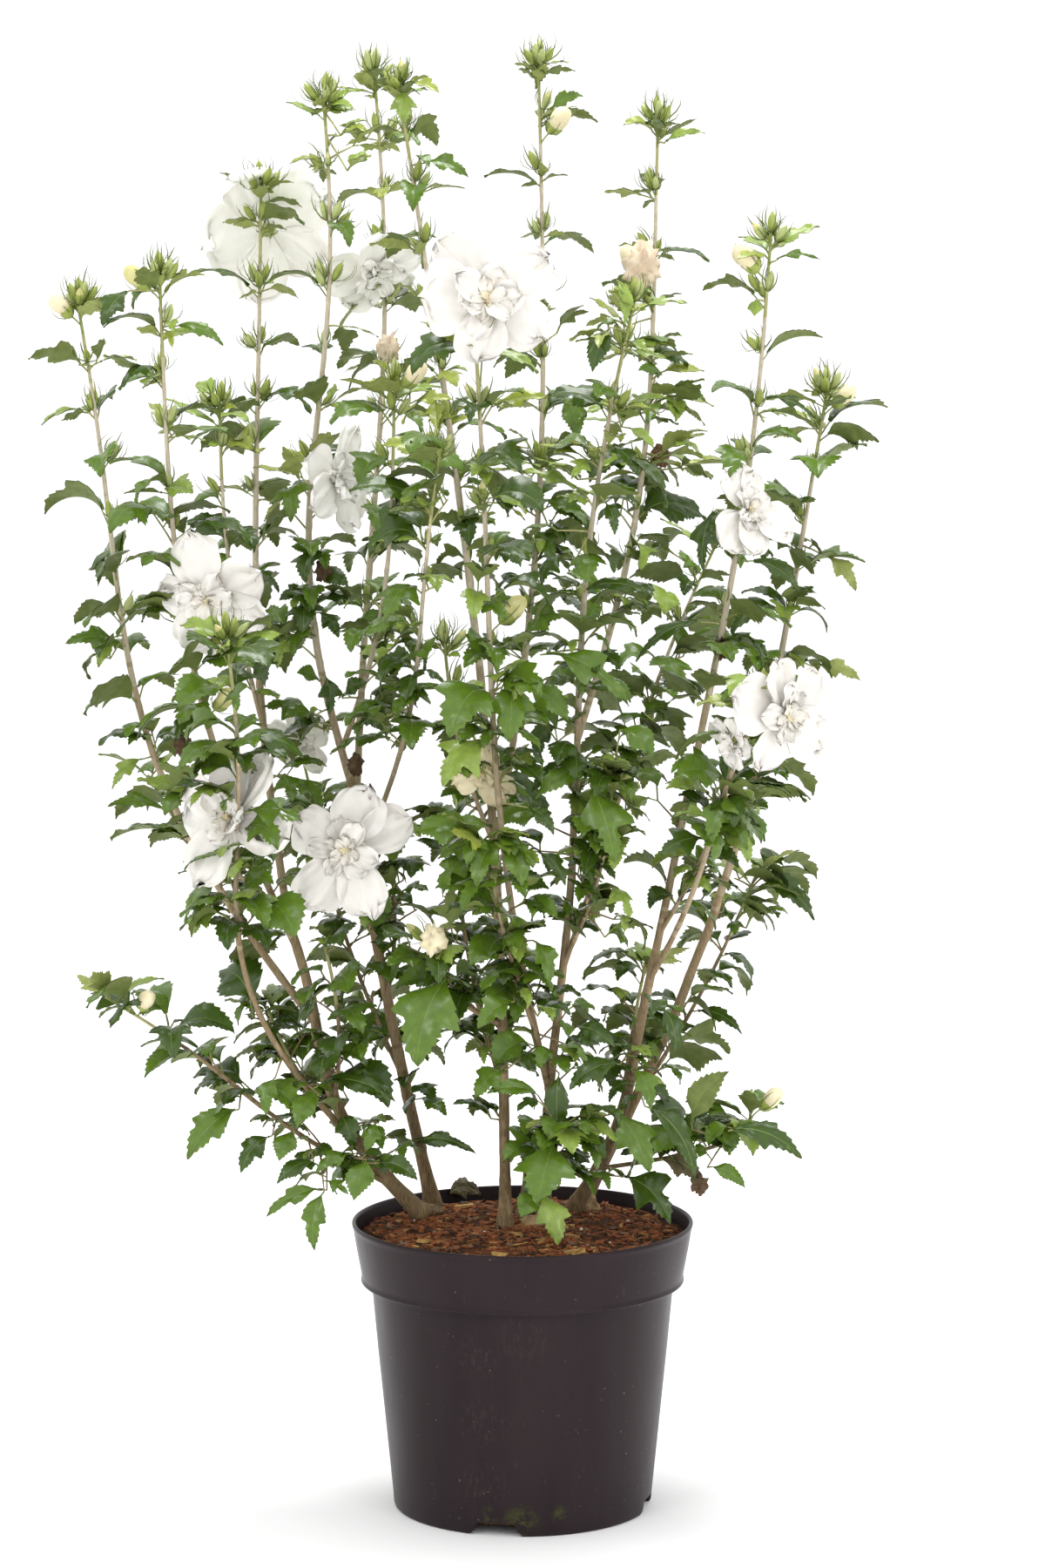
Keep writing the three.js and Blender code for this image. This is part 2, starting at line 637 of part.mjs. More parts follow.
// A leaf, perhaps a companion to either side of it, a spur behind it and a bud over it.
function growNode(mass, world, share, turn, draws) {
  const { lerp } = THREE.MathUtils;
  const { companion, spur, bud } = NODE;
  const above = (millimetres) => mass.rootAt(share + millimetres / mass.length);
  const { z } = above(0);
  const length = profileAt(LEAF_LENGTH, z) * lerp(...NODE.leafSize, draws[0]);
  addBlade(mass, world, LEAF, above(0), turn, lerp(...LEAF.lift, draws[1]), length);
  for (const [side, draw] of [[1, draws[2]], [-1, draws[3]]]) {
    if (draw < profileAt(COMPANION_CHANCE, z)) {
      const aside = turn + side * lerp(...companion.turn, draw);
      const lift = lerp(...LEAF.lift, draws[4]);
      addBlade(mass, world, LEAF, above(side * companion.step), aside, lift, length * companion.size);
    }
  }
  if (draws[5] < profileAt(SPUR_CHANCE, z)) {
    addSpur(mass, world, above(-spur.below), turn + lerp(...spur.turn, draws[6]), draws, length);
  }
  if (draws[8] < profileAt(BUD_CHANCE, z)) {
    addBlade(mass, world, BUD, above(bud.above), turn + bud.turn, lerp(...BUD.lift, draws[3]), BUD.length);
  }
}

function growNodes(mass, world, random) {
  let share = mass.first;
  let turn = random() * 2 * Math.PI;
  while (share < mass.last) {
    const draws = Array.from({ length: 9 }, random);
    const { z } = mass.rootAt(share);
    growNode(mass, world, share, turn, draws);
    turn += GOLDEN_TURN + NODE.wander * (draws[7] - 0.5);
    share += (profileAt(NODE_SPACING, z) * THREE.MathUtils.lerp(...NODE.spacing, draws[6])) / mass.length;
  }
}

function growTip(mass, world, random) {
  const rootAt = (i) => mass.rootAt(mass.last - (i * TIP.step) / mass.length);
  const height = rootAt(0).z;
  const young = profileAt(LEAF_LENGTH, height) * TIP.leafSize;
  const start = random() * 2 * Math.PI;
  const budLifts = height > TIP.budsAbove ? TIP.budLifts : [];
  budLifts.forEach((lift, i) => {
    addBlade(mass, world, BUD, rootAt(i), start + TIP.budTurn + i * Math.PI, lift, BUD.length);
  });
  for (let i = 0; i < TIP.leaves; i++) {
    const turn = start + (i * 2 * Math.PI) / TIP.leaves;
    const lift = THREE.MathUtils.lerp(...TIP.leafLift, random());
    addBlade(mass, world, LEAF, rootAt(budLifts.length + i), turn, lift, young);
  }
}

// Grows a mass's pieces on its shoot and joins them; a piece whose seam is finer than the grid is left out.
function growMass(mass, world, seed) {
  const random = seeded(seed);
  const shoot = tube(mass.curve, mass.from, 1, mass.radiusAt, SHOOT.sides, mass.steps);
  world.blooms.filter((bloom) => bloom.on === mass.name).forEach((bloom) => addBloom(mass, bloom));
  for (const bud of CREAM_BUDS.filter((one) => one.on === mass.name)) {
    const side = THREE.MathUtils.degToRad(bud.side);
    addBlade(mass, world, BUD, mass.rootAt(bud.at), side, CREAM_BUD_LIFT, bud.length);
  }
  growTip(mass, world, random);
  growNodes(mass, world, random);
  let whole = mass.limb ? cutClear(shoot, [mass.limb]) : shoot;
  for (const solid of mass.solids) {
    const piece = mass.limb ? solid.subtract(limbSolid(mass.limb, GAP)) : solid;
    const joined = whole.add(piece);
    if (isClosed(onGrid(joined))) {
      whole = joined;
    }
  }
  return largestBody(whole);
}

// A mass on its way to being grown. limb: the limb that a tuft springs from.
function massOf(name, curve, from, length, radiusAt, limb) {
  const steps = Math.max(3, Math.round(((1 - from) * length) / SHOOT.step));
  const path = Array.from({ length: steps + 1 }, (_, i) => {
    const share = THREE.MathUtils.lerp(from, 1, i / steps);
    return { point: curve.getPoint(share), radius: radiusAt(share) };
  });
  // The shoot is straight between the path's points, so what grows on it is rooted on those stretches.
  const rootAt = (share) => {
    const place = THREE.MathUtils.clamp((share - from) / (1 - from), 0, 1) * steps;
    const stretch = Math.min(Math.floor(place), steps - 1);
    return path[stretch].point.clone().lerp(path[stretch + 1].point, place - stretch);
  };
  const first = from + (limb ? SHOOT.firstTuftNode : SHOOT.firstNode) / length;
  const last = 1 - TIP.inset / length;
  const grown = { solids: [], taken: [] };
  return { name, curve, from, length, radiusAt, limb, steps, path, rootAt, first, last, ...grown };
}

function layOutMasses(limbs) {
  const masses = [];
  for (const limb of limbs.values()) {
    if (limb.leafy < 1) {
      const from = limb.leafy + GAP / limb.length;
      masses.push(massOf(limb.name, limb.curve, from, limb.length, limb.radiusAt, null));
    }
  }
  for (const [name, tuft] of Object.entries(TUFTS)) {
    const limb = limbs.get(tuft.on);
    const foot = limb.curve.getPoint(tuft.between[0]);
    const tip = limb.curve.getPoint(tuft.between[1]).add(new THREE.Vector3(...tuft.out));
    const curve = new LimbCurve(foot, tip, [tuft.out[0] * TUFT.bow, tuft.out[1] * TUFT.bow], 0);
    const radiusAt = (share) => THREE.MathUtils.lerp(...TUFT.girth, share);
    masses.push(massOf(name, curve, 0, foot.distanceTo(tip), radiusAt, limb));
  }
  return masses;
}

// ---------------------------------------------------------------- pot and soil

const COLLAR_FOOT = POT.height - POT.collarHeight;

// From the middle of the underside out, up the outside, over the rim and down the inside.
function potProfile() {
  const { height, wall, base, lip, edge, footEdge } = POT;
  const { rimRadius, collarFootRadius, bodyTopRadius, footRadius } = POT;
  return [
    [0, 0],
    [footRadius - footEdge, 0],
    [footRadius, footEdge],
    [bodyTopRadius, COLLAR_FOOT],
    [collarFootRadius - edge, COLLAR_FOOT],
    [collarFootRadius, COLLAR_FOOT + edge],
    [rimRadius, height - edge],
    [rimRadius - edge, height],
    [rimRadius - lip + edge, height],
    [rimRadius - lip, height - edge],
    [collarFootRadius - wall, COLLAR_FOOT + wall + edge],
    [bodyTopRadius - wall, COLLAR_FOOT + wall],
    [footRadius - wall, base],
    [0, base],
  ];
}

// Turns a profile of [radius, height], given from the bottom outwards and up, about +Z.
function turned(profile, segments) {
  const points = profile.map(([radius, height]) => new THREE.Vector2(radius, height));
  const geometry = new THREE.LatheGeometry(points, segments);
  return solidOf(geometry.rotateX(Math.PI / 2));
}

function potSolid() {
  let solid = turned(potProfile(), POT.segments);
  for (let i = 0; i < POT.notches; i++) {
    const cut = new THREE.BoxGeometry(2 * POT.notchDepth, POT.notchWidth, 2 * POT.notchHeight);
    cut.translate(POT.footRadius, 0, 0);
    cut.rotateZ(THREE.MathUtils.degToRad(POT.notchTurn + (i * 360) / POT.notches));
    solid = solid.subtract(solidOf(cut));
  }
  return solid;
}

// The filling keeps a little play all round, under the collar's step too.
function soilSolid() {
  const skin = POT.wall + SOIL.play;
  const floor = POT.base + SOIL.play;
  const step = COLLAR_FOOT + skin + POT.edge;
  const slope = (POT.rimRadius - POT.collarFootRadius) / POT.collarHeight;
  const bodyTop = POT.bodyTopRadius - skin - SOIL.play;
  const collarFoot = POT.collarFootRadius - POT.lip;
  const profile = [
    [0, floor],
    [POT.footRadius - skin - SOIL.play, floor],
    [bodyTop, COLLAR_FOOT],
    [bodyTop, step],
    [collarFoot, step + SOIL.play],
    [collarFoot + slope * (SOIL.edge - step) - SOIL.play, SOIL.edge],
    [SOIL.shoulderRadius, SOIL.top],
    [0, SOIL.top],
  ];
  return turned(profile, SOIL.segments);
}

// ---------------------------------------------------------------- the whole plant

function named(name, solid, look) {
  const mesh = new THREE.Mesh(geometryOf(solid), new THREE.MeshStandardMaterial(look));
  mesh.name = name;
  return mesh;
}

function growLimbs(group, limbs) {
  const done = [];
  for (const limb of limbs.values()) {
    const siblings = done.filter((other) => other.parent === limb.parent && !other.standing);
    const neighbours = limb.parent ? [limb.parent, ...siblings] : [];
    const look = limb.standing ? COLOURS.stem : COLOURS.bough;
    group.add(named(limb.name, cutClear(limbSolid(limb), neighbours), look));
    done.push(limb);
  }
}

function growFoliage(group, limbs) {
  const limbPaths = [...limbs.values()].map(limbPath);
  const blooms = BLOOMS.map((bloom) => ({ ...bloom, middle: new THREE.Vector3(...bloom.centre) }));
  const world = { masses: layOutMasses(limbs), limbPaths, blooms };
  world.masses.forEach((mass, index) => {
    const name = mass.limb ? mass.name : mass.name.replace(/_(bough|stem)$/, "_leaves");
    group.add(named(name, growMass(mass, world, FIRST_SEED + index), COLOURS.leaves));
  });
}

const plant = new THREE.Group();
plant.add(named("pot", potSolid(), COLOURS.pot));
plant.add(named("soil", soilSolid(), COLOURS.soil));
const limbs = layOutLimbs();
growLimbs(plant, limbs);
growFoliage(plant, limbs);

export default plant;
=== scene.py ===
"""Looks of the rose of sharon in its nursery pot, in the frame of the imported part.

The plant is laid out in millimetres by the same rule as its solids: limbs from named sizes, a shoot of leaves
and buds on each, every mass in its own space. Each leaf, bud and bloom of the rule is dressed as a full mesh.
The looks add leaves that stand out on the front, side shoots where the crown is dense, and finer twigs,
leaves and buds at the same nodes. Meshes are written in metres.
"""

import math

import bpy
import numpy as np
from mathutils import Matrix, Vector, noise


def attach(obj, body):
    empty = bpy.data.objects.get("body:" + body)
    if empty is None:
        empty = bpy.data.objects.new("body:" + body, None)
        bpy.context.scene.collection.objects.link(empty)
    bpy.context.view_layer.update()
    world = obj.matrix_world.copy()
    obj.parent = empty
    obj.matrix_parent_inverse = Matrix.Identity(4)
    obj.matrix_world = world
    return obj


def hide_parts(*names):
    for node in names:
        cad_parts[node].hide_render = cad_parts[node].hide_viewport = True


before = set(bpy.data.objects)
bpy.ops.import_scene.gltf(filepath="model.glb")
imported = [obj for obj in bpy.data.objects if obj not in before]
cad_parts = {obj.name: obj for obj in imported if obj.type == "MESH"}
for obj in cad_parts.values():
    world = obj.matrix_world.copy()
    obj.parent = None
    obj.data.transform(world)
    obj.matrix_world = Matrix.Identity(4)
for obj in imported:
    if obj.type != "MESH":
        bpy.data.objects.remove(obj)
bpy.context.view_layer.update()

MM = 0.001
UP = np.array([0.0, 0.0, 1.0])

# ---------------------------------------------------------------- the rule's driving dimensions (mm)

GAP = 0.3
GOLDEN_TURN = math.radians(137.5)
FIRST_SEED = 1000
SOIL = {"edge": 271, "top": 282, "shoulder": 118}
FLARE = {"extra": 3.4, "fade": 22}

# Stems: foot x, y; tip x, y, z; bow (half a wave, x and y); sway (a whole wave, x); the share where the
# leaves take over; the radius at the foot and at the tip.
STEMS = {
    "left_stem": ((-98, 40), (-231, -10, 589), (-32, 0), -10, 1, (8.2, 5)),
    "back_left_stem": ((-90, 84), (-170, 30, 722), (-6, 0), 0, 1, (7.6, 4.6)),
    "centre_stem": ((-17, -12), (-121, 40, 1406), (26, -10), 2, 0.56, (6.6, 1.4)),
    "short_stem": ((-2, 34), (2, 40, 366), (3, 0), 0, 1, (3.4, 2.2)),
    "middle_stem": ((22, 20), (29, -14, 448), (-2, 0), 0, 1, (7, 5.2)),
    "right_stem": ((49, 58), (130, 0, 548), (16, 0), 4, 1, (7.6, 5)),
    "back_right_stem": ((60, 92), (306, 130, 1107), (46, 10), 5, 0.46, (7, 1.4)),
}

# Boughs: the parent limb and the share of it where the bough leaves, then as for the stems from the tip on.
BOUGHS = {
    "inner_left_bough": (("left_stem", 1), (-264, 170, 1312), (-19, 0), -4, 0.3, (4.6, 1.4)),
    "left_bough": (("left_stem", 0.9), (-341, -150, 1220), (-43, -10), -4, 0.33, (4, 1.4)),
    "far_left_bough": (("left_stem", 0.66), (-437, 40, 1195), (-67, 0), -15, 0.36, (4.6, 1.4)),
    "front_left_bough": (("left_stem", 0.22), (-274, -250, 888), (-59, -20), -19, 0.42, (4, 1.4)),
    "low_left_bough": (("left_stem", 0.1), (-406, -80, 526), (-5, -10), -8, 0.45, (3.4, 1.3)),
    "tall_left_bough": (("back_left_stem", 1), (-190, -60, 1390), (-23, 0), -15, 0.24, (4.2, 1.4)),
    "back_left_bough": (("back_left_stem", 0.93), (-151, 230, 1427), (13, 30), -5, 0.24, (4, 1.4)),
    "slim_left_bough": (("tall_left_bough", 0.05), (-122, -106, 1119), (19, -10), 2, 0.24, (3, 1.3)),
    "slim_centre_bough": (("back_left_stem", 0.84), (-78, -212, 1056), (18, -34), 5, 0.26, (3, 1.3)),
    "inner_right_bough": (("middle_stem", 1), (104, -170, 1196), (-12, 10), 8, 0.48, (5, 1.4)),
    "front_bough": (("middle_stem", 0.82), (-44, -230, 1173), (-19, -20), -5, 0.4, (4.2, 1.6)),
    "back_bough": (("centre_stem", 0.33), (16, 150, 1432), (24, 24), 2, 0.22, (3.8, 1.4)),
    "rear_right_bough": (("inner_right_bough", 0.13), (203, 260, 950), (-7, 20), 3, 0.4, (3.2, 1.3)),
    "tall_right_bough": (("inner_right_bough", 0.44), (134, 90, 1374), (29, 20), 4, 0.18, (3.6, 1.4)),
    "right_bough": (("right_stem", 1), (238, -60, 1258), (15, 0), -3, 0.34, (4.6, 1.4)),
    "front_right_bough": (("right_stem", 0.93), (228, -210, 831), (2, -12), 5, 0.45, (3.4, 1.8)),
}

# Tufts: the limb, the shares of it between which the tuft runs, and how far out of it the tip stands.
TUFTS = {
    "low_left_tuft": ("left_stem", (0.24, 0.7), (-48, 34, 0)),
    "left_front_tuft": ("left_stem", (0.4, 0.98), (34, -54, 0)),
    "far_left_tuft": ("far_left_bough", (0.06, 0.34), (-20, 52, 0)),
    "left_tuft": ("left_bough", (0.04, 0.26), (-30, -52, 0)),
    "left_shoot": ("inner_left_bough", (0.26, 0.7), (-30, -120, 0)),
    "back_left_low_tuft": ("back_left_stem", (0.3, 0.94), (-44, 56, 0)),
    "back_left_high_tuft": ("back_left_stem", (0.5, 0.9), (30, -74, 6)),
    "centre_twig": ("centre_stem", (0.18, 0.24), (-66, -76, 26)),
    "centre_low_tuft": ("centre_stem", (0.12, 0.36), (-38, 44, 0)),
    "centre_high_tuft": ("centre_stem", (0.34, 0.52), (-30, -64, 0)),
    "front_tuft": ("front_bough", (0.08, 0.36), (-16, -46, 0)),
    "inner_right_tuft": ("inner_right_bough", (0.14, 0.38), (34, -40, 0)),
    "low_front_tuft": ("middle_stem", (0.16, 0.8), (8, -64, -20)),
    "low_right_twig": ("right_stem", (0.18, 0.42), (126, -72, 6)),
    "right_tuft": ("right_stem", (0.4, 0.96), (-4, 58, 0)),
    "right_high_tuft": ("right_bough", (0.04, 0.3), (34, -30, 0)),
    "back_right_tuft": ("back_right_stem", (0.12, 0.4), (34, 44, 0)),
}
TUFT = {"girth": (2.4, 1.4), "bow": 0.3}
SHOOT = {"step": 75, "first_node": 14, "first_tuft_node": 30}

# How the foliage changes with the height above the floor.
LEAF_LENGTH = ((300, 66), (560, 74), (800, 98), (1080, 94), (1300, 78), (1440, 56))
NODE_SPACING = ((300, 32), (700, 42), (1000, 50), (1150, 60), (1400, 56))
COMPANION_CHANCE = ((300, 0.56), (900, 0.56), (1060, 0.3), (1200, 0.06), (1400, 0))
SPUR_CHANCE = ((300, 0.16), (900, 0.16), (1060, 0.1), (1180, 0.03), (1400, 0))
BUD_CHANCE = ((300, 0), (900, 0.04), (1060, 0.2), (1200, 0.45), (1400, 0.5))

LEAF = {"width": 0.5, "arch": 0.13, "widest": 0.56, "drop": 0.03, "lift": (4, 32)}
BUD = {"width": 0.4, "arch": 0, "widest": 0.62, "drop": 0.29, "lift": (48, 72), "length": 31}
NODE = {
    "leaf_size": (0.86, 1.14),
    "companion": {"size": 0.84, "turn": (1.1, 1.7), "step": 4},
    "spur": {"turn": (0.8 * math.pi, 1.2 * math.pi), "below": 8},
    "bud": {"turn": 0.5, "above": 9},
    "spacing": (0.85, 1.15),
    "wander": 0.4,
}
SPUR = {
    "length": (18, 42),
    "lift": (25, 60),
    "leaf": {"size": 0.84, "fan": (42, 78), "lift": (4, 30), "below": {1: 2, -1: 7}},
}
TIP = {
    "inset": 4,
    "step": 4,
    "leaves": 3,
    "leaf_size": 0.8,
    "leaf_lift": (14, 40),
    "bud_lifts": (86, 50),
    "bud_turn": 0.6,
    "buds_above": 800,
}
SPACE = {"masses": 2.5, "limb": 4, "bloom": 3, "leaves": 6, "own_bloom": 0.55}
NUDGES = [math.radians(turn) for turn in (0, 30, -30, 65, -65, 105, -105)]
LIMB_PATH_POINTS = 10

# Blooms: the mass, the share of it where the stalk leaves, the centre, the way it faces (degrees: turn from
# the front towards +X, and lift), the diameter and how open it is.
BLOOMS = (
    ("inner_left_bough", 0.93, (-262, 208, 1276), (-160, 30), 122, 1),
    ("back_left_bough", 0.8, (-146, 160, 1222), (30, -35), 92, 0.9),
    ("front_bough", 0.985, (-32, -256, 1203), (6, 12), 128, 1),
    ("tall_left_bough", 0.44, (-172, -44, 1030), (58, 4), 90, 0.9),
    ("left_bough", 0.5, (-302, -136, 914), (-22, -18), 100, 1),
    ("right_bough", 0.62, (219, -112, 1003), (34, 20), 86, 0.9),
    ("front_right_bough", 0.97, (250, -232, 815), (38, -8), 112, 1),
    ("front_right_bough", 0.7, (196, -196, 786), (-60, -20), 56, 0.8),
    ("back_left_high_tuft", 0.92, (-171, -112, 674), (-4, 4), 128, 1),
    ("left_tuft", 0.9, (-282, -128, 712), (-38, 10), 96, 0.9),
    ("back_left_low_tuft", 0.99, (-222, 98, 760), (20, 20), 58, 0.8),
    ("centre_high_tuft", 0.8, (-38, -62, 746), (-20, -24), 54, 0.8),
)
# Blooms still rolled up: the mass, the share of it, the side the bud leans to (degrees) and its length.
CREAM_BUDS = (
    ("right_bough", 0.94, 215, 50),
    ("left_bough", 0.97, 190, 42),
    ("back_bough", 0.9, 320, 46),
    ("slim_left_bough", 0.97, 330, 44),
    ("front_bough", 0.62, 20, 46),
    ("far_left_bough", 0.97, 200, 40),
    ("back_right_stem", 0.97, 350, 42),
    ("tall_right_bough", 0.74, 200, 44),
    ("left_bough", 0.36, 330, 40),
    ("centre_twig", 0.95, 200, 38),
    ("low_left_bough", 0.9, 300, 38),
    ("low_right_twig", 0.97, 350, 40),
)
CREAM_BUD_LIFT = 44
SHUT_BUD_ON = "centre_twig"  # here it is still green

# ---------------------------------------------------------------- chance, profiles, directions

WORD = 0xFFFFFFFF


def seeded(seed):
    """The source's chance: the same draws from the same seed."""
    state = seed & WORD

    def draw():
        nonlocal state
        state = (state + 0x6D2B79F5) & WORD
        mixed = ((state ^ (state >> 15)) * (state | 1)) & WORD
        mixed ^= (mixed + (mixed ^ (mixed >> 7)) * (mixed | 61)) & WORD
        return (mixed ^ (mixed >> 14)) / 2**32

    return draw


def lerp(pair, share):
    return pair[0] + (pair[1] - pair[0]) * share


def profile_at(profile, height):
    heights, values = zip(*profile)
    return float(np.interp(height, heights, values))


def heading(turn, lift):
    """A direction from its turn about Z (radians from +X) and its lift above the horizontal (degrees)."""
    raised = math.radians(lift)
    level = math.cos(raised)
    return np.array([math.cos(turn) * level, math.sin(turn) * level, math.sin(raised)])


def unit(vector):
    return vector / np.linalg.norm(vector)


# ---------------------------------------------------------------- limbs and masses


class Limb:
    """A chord with a bow and a sway, from foot to tip, and the radius along it."""

    def __init__(self, name, foot, tip, bow, sway, leafy, girth, standing=False):
        self.name = name
        self.foot = np.array(foot, float)
        self.tip = np.array(tip, float)
        self.bow = np.array([bow[0], bow[1], 0.0])
        self.sway = np.array([sway, 0.0, 0.0])
        self.leafy = leafy
        self.girth = girth
        self.standing = standing
        self.length = float(np.linalg.norm(self.tip - self.foot))

    def at(self, share):
        bowed = self.bow * math.sin(math.pi * share) + self.sway * math.sin(2 * math.pi * share)
        return self.foot + (self.tip - self.foot) * share + bowed

    def way(self, share):
        bent = self.bow * math.pi * math.cos(math.pi * share)
        swayed = self.sway * 2 * math.pi * math.cos(2 * math.pi * share)
        return unit(self.tip - self.foot + bent + swayed)

    def radius(self, share):
        rise = self.at(share)[2] - self.foot[2]
        flare = FLARE["extra"] * math.exp(-rise / FLARE["fade"]) if self.standing else 0
        return lerp(self.girth, share) + flare


class Mass:
    """A shoot with what grows on it, from the share of its curve where it starts."""

    def __init__(self, name, curve, start, first_node):
        self.name = name
        self.curve = curve
        self.start = start
        self.length = curve.length
        self.steps = max(3, math.floor((1 - start) * self.length / SHOOT["step"] + 0.5))
        shares = [start + (1 - start) * i / self.steps for i in range(self.steps + 1)]
        self.path = np.array([curve.at(share) for share in shares])
        self.radii = np.array([curve.radius(share) for share in shares])
        self.first = start + first_node / self.length
        self.last = 1 - TIP["inset"] / self.length
        self.taken = np.empty((0, 3))
        self.nodes = []
        self.leaves = []
        self.buds = []
        self.twigs = []

    def root_at(self, share):
        place = min(max((share - self.start) / (1 - self.start), 0), 1) * self.steps
        stretch = min(int(place), self.steps - 1)
        return self.path[stretch] + (self.path[stretch + 1] - self.path[stretch]) * (place - stretch)

    def bear_leaf(self, root, turn, lift, length, age="grown", **look):
        self.leaves.append({"root": root, "turn": turn, "lift": lift, "length": length, "age": age, **look})

    def bear_bud(self, root, turn, lift, length, kind="bud"):
        self.buds.append({"root": root, "turn": turn, "lift": lift, "length": length, "kind": kind})

    @property
    def node(self):
        """The CAD node that holds this mass."""
        return self.name.replace("_bough", "_leaves").replace("_stem", "_leaves")


def lay_out_limbs():
    limbs = {}
    for name, (foot, *form) in STEMS.items():
        limbs[name] = Limb(name, (*foot, SOIL["top"] + GAP), *form, standing=True)
    for name, ((parent, share), *form) in BOUGHS.items():
        limbs[name] = Limb(name, limbs[parent].at(share), *form)
    return limbs


def lay_out_masses(limbs):
    masses = [
        Mass(limb.name, limb, limb.leafy + GAP / limb.length, SHOOT["first_node"])
        for limb in limbs.values()
        if limb.leafy < 1
    ]
    for name, (on, between, out) in TUFTS.items():
        foot, end = (limbs[on].at(share) for share in between)
        bow = (out[0] * TUFT["bow"], out[1] * TUFT["bow"])
        curve = Limb(name, foot, end + np.array(out), bow, 0, 1, TUFT["girth"])
        masses.append(Mass(name, curve, 0, SHOOT["first_tuft_node"]))
    return masses


class Space:
    """Tells whether points are nearer to their own shoot than to any other, and off every limb and bloom."""

    def __init__(self, masses, limbs, blooms):
        paths = [(mass.path, mass.radii) for mass in masses]
        for limb in limbs.values():
            shares = np.linspace(0, limb.leafy, LIMB_PATH_POINTS)
            points = np.array([limb.at(share) for share in shares])
            paths.append((points, np.array([limb.radius(share) for share in shares])))
        self.masses = masses
        self.starts = np.cumsum([0] + [len(points) - 1 for points, _ in paths[:-1]])
        self.foot = np.concatenate([points[:-1] for points, _ in paths])
        self.run = np.concatenate([points[1:] - points[:-1] for points, _ in paths])
        self.run2 = (self.run**2).sum(axis=1)
        self.radius = np.concatenate([radii[:-1] for _, radii in paths])
        self.taper = np.concatenate([radii[1:] - radii[:-1] for _, radii in paths])
        self.blooms = blooms

    def distances(self, points):
        off = points[:, None, :] - self.foot
        share = np.clip((off * self.run).sum(axis=2) / self.run2, 0, 1)
        gap = np.linalg.norm(off - self.run * share[..., None], axis=2) - self.radius - self.taper * share
        return np.minimum.reduceat(gap, self.starts, axis=1)

    def is_own(self, points, mass, between=SPACE["masses"]):
        gaps = self.distances(points)
        count = len(self.masses)
        index = self.masses.index(mass)
        own = gaps[:, index : index + 1] + between
        others = np.delete(gaps[:, :count], index, axis=1)
        if (others < own).any() or (gaps[:, count:] < SPACE["limb"]).any():
            return False
        for on, _, centre, _, width, _ in self.blooms:
            reach = SPACE["own_bloom"] if on == mass.name else 1
            near = np.linalg.norm(points - np.array(centre), axis=1)
            if (near <= width / 2 * reach + SPACE["bloom"]).any():
                return False
        return True


# ---------------------------------------------------------------- growth by the source's rule


SAMPLE_SHARES = {"to_tip": (0.33, 0.66), "to_root": 0.4}


def blade_samples(kind, root, along, length):
    """Points spread over a blade: its edges, middle line and tip."""
    across = unit(np.cross(along, UP))
    over = np.cross(across, along)
    width = kind["width"] * length
    rise = kind["arch"] * length
    middle = root + along * kind["widest"] * length + over * rise
    lowered = middle - over * kind["drop"] * width
    left = lowered - across * width / 2
    right = lowered + across * width / 2
    tip = root + along * length - over * rise / 2
    samples = [tip, (left + middle) / 2, (right + middle) / 2]
    for edge in (left, middle, right):
        samples.append(edge)
        samples += [edge + (tip - edge) * share for share in SAMPLE_SHARES["to_tip"]]
        samples.append(edge + (root - edge) * SAMPLE_SHARES["to_root"])
    return np.array(samples)


def is_crowded(points, taken, clearance):
    if not len(taken):
        return False
    return (np.linalg.norm(points[:, None, :] - taken, axis=2) < clearance).any()


def find_room(
    mass, space, kind, root, turn, lift, length, clearance=SPACE["leaves"], between=SPACE["masses"]
):
    """The first turn about the shoot at which a blade has room, or None."""
    for nudge in NUDGES:
        samples = blade_samples(kind, root, heading(turn + nudge, lift), length)
        if not is_crowded(samples, mass.taken, clearance) and space.is_own(samples, mass, between):
            mass.taken = np.concatenate([mass.taken, samples])
            return turn + nudge
    return None


def add_leaf(mass, space, root, turn, lift, length, age="grown", **room):
    turn = find_room(mass, space, LEAF, root, turn, lift, length, **room)
    if turn is not None:
        mass.bear_leaf(root, turn, lift, length, age)
    return turn is not None


def add_bud(mass, space, root, turn, lift, length, kind="bud"):
    turn = find_room(mass, space, BUD, root, turn, lift, length)
    if turn is not None:
        mass.bear_bud(root, turn, lift, length, kind)


def add_spur(mass, space, root, turn, draws, leaf_length):
    length = lerp(SPUR["length"], draws[1])
    along = heading(turn, lerp(SPUR["lift"], draws[0]))
    end = root + along * length
    if not space.is_own(np.array([root + along * length / 2, end]), mass):
        return
    mass.twigs.append((root, end))
    leaf = SPUR["leaf"]
    for side, draw in ((1, draws[2]), (-1, draws[3])):
        sunk = end - along * leaf["below"][side]
        spread = math.radians(lerp(leaf["fan"], draw))
        lift = lerp(leaf["lift"], draw)
        add_leaf(mass, space, sunk, turn + side * spread, lift, leaf_length * leaf["size"])


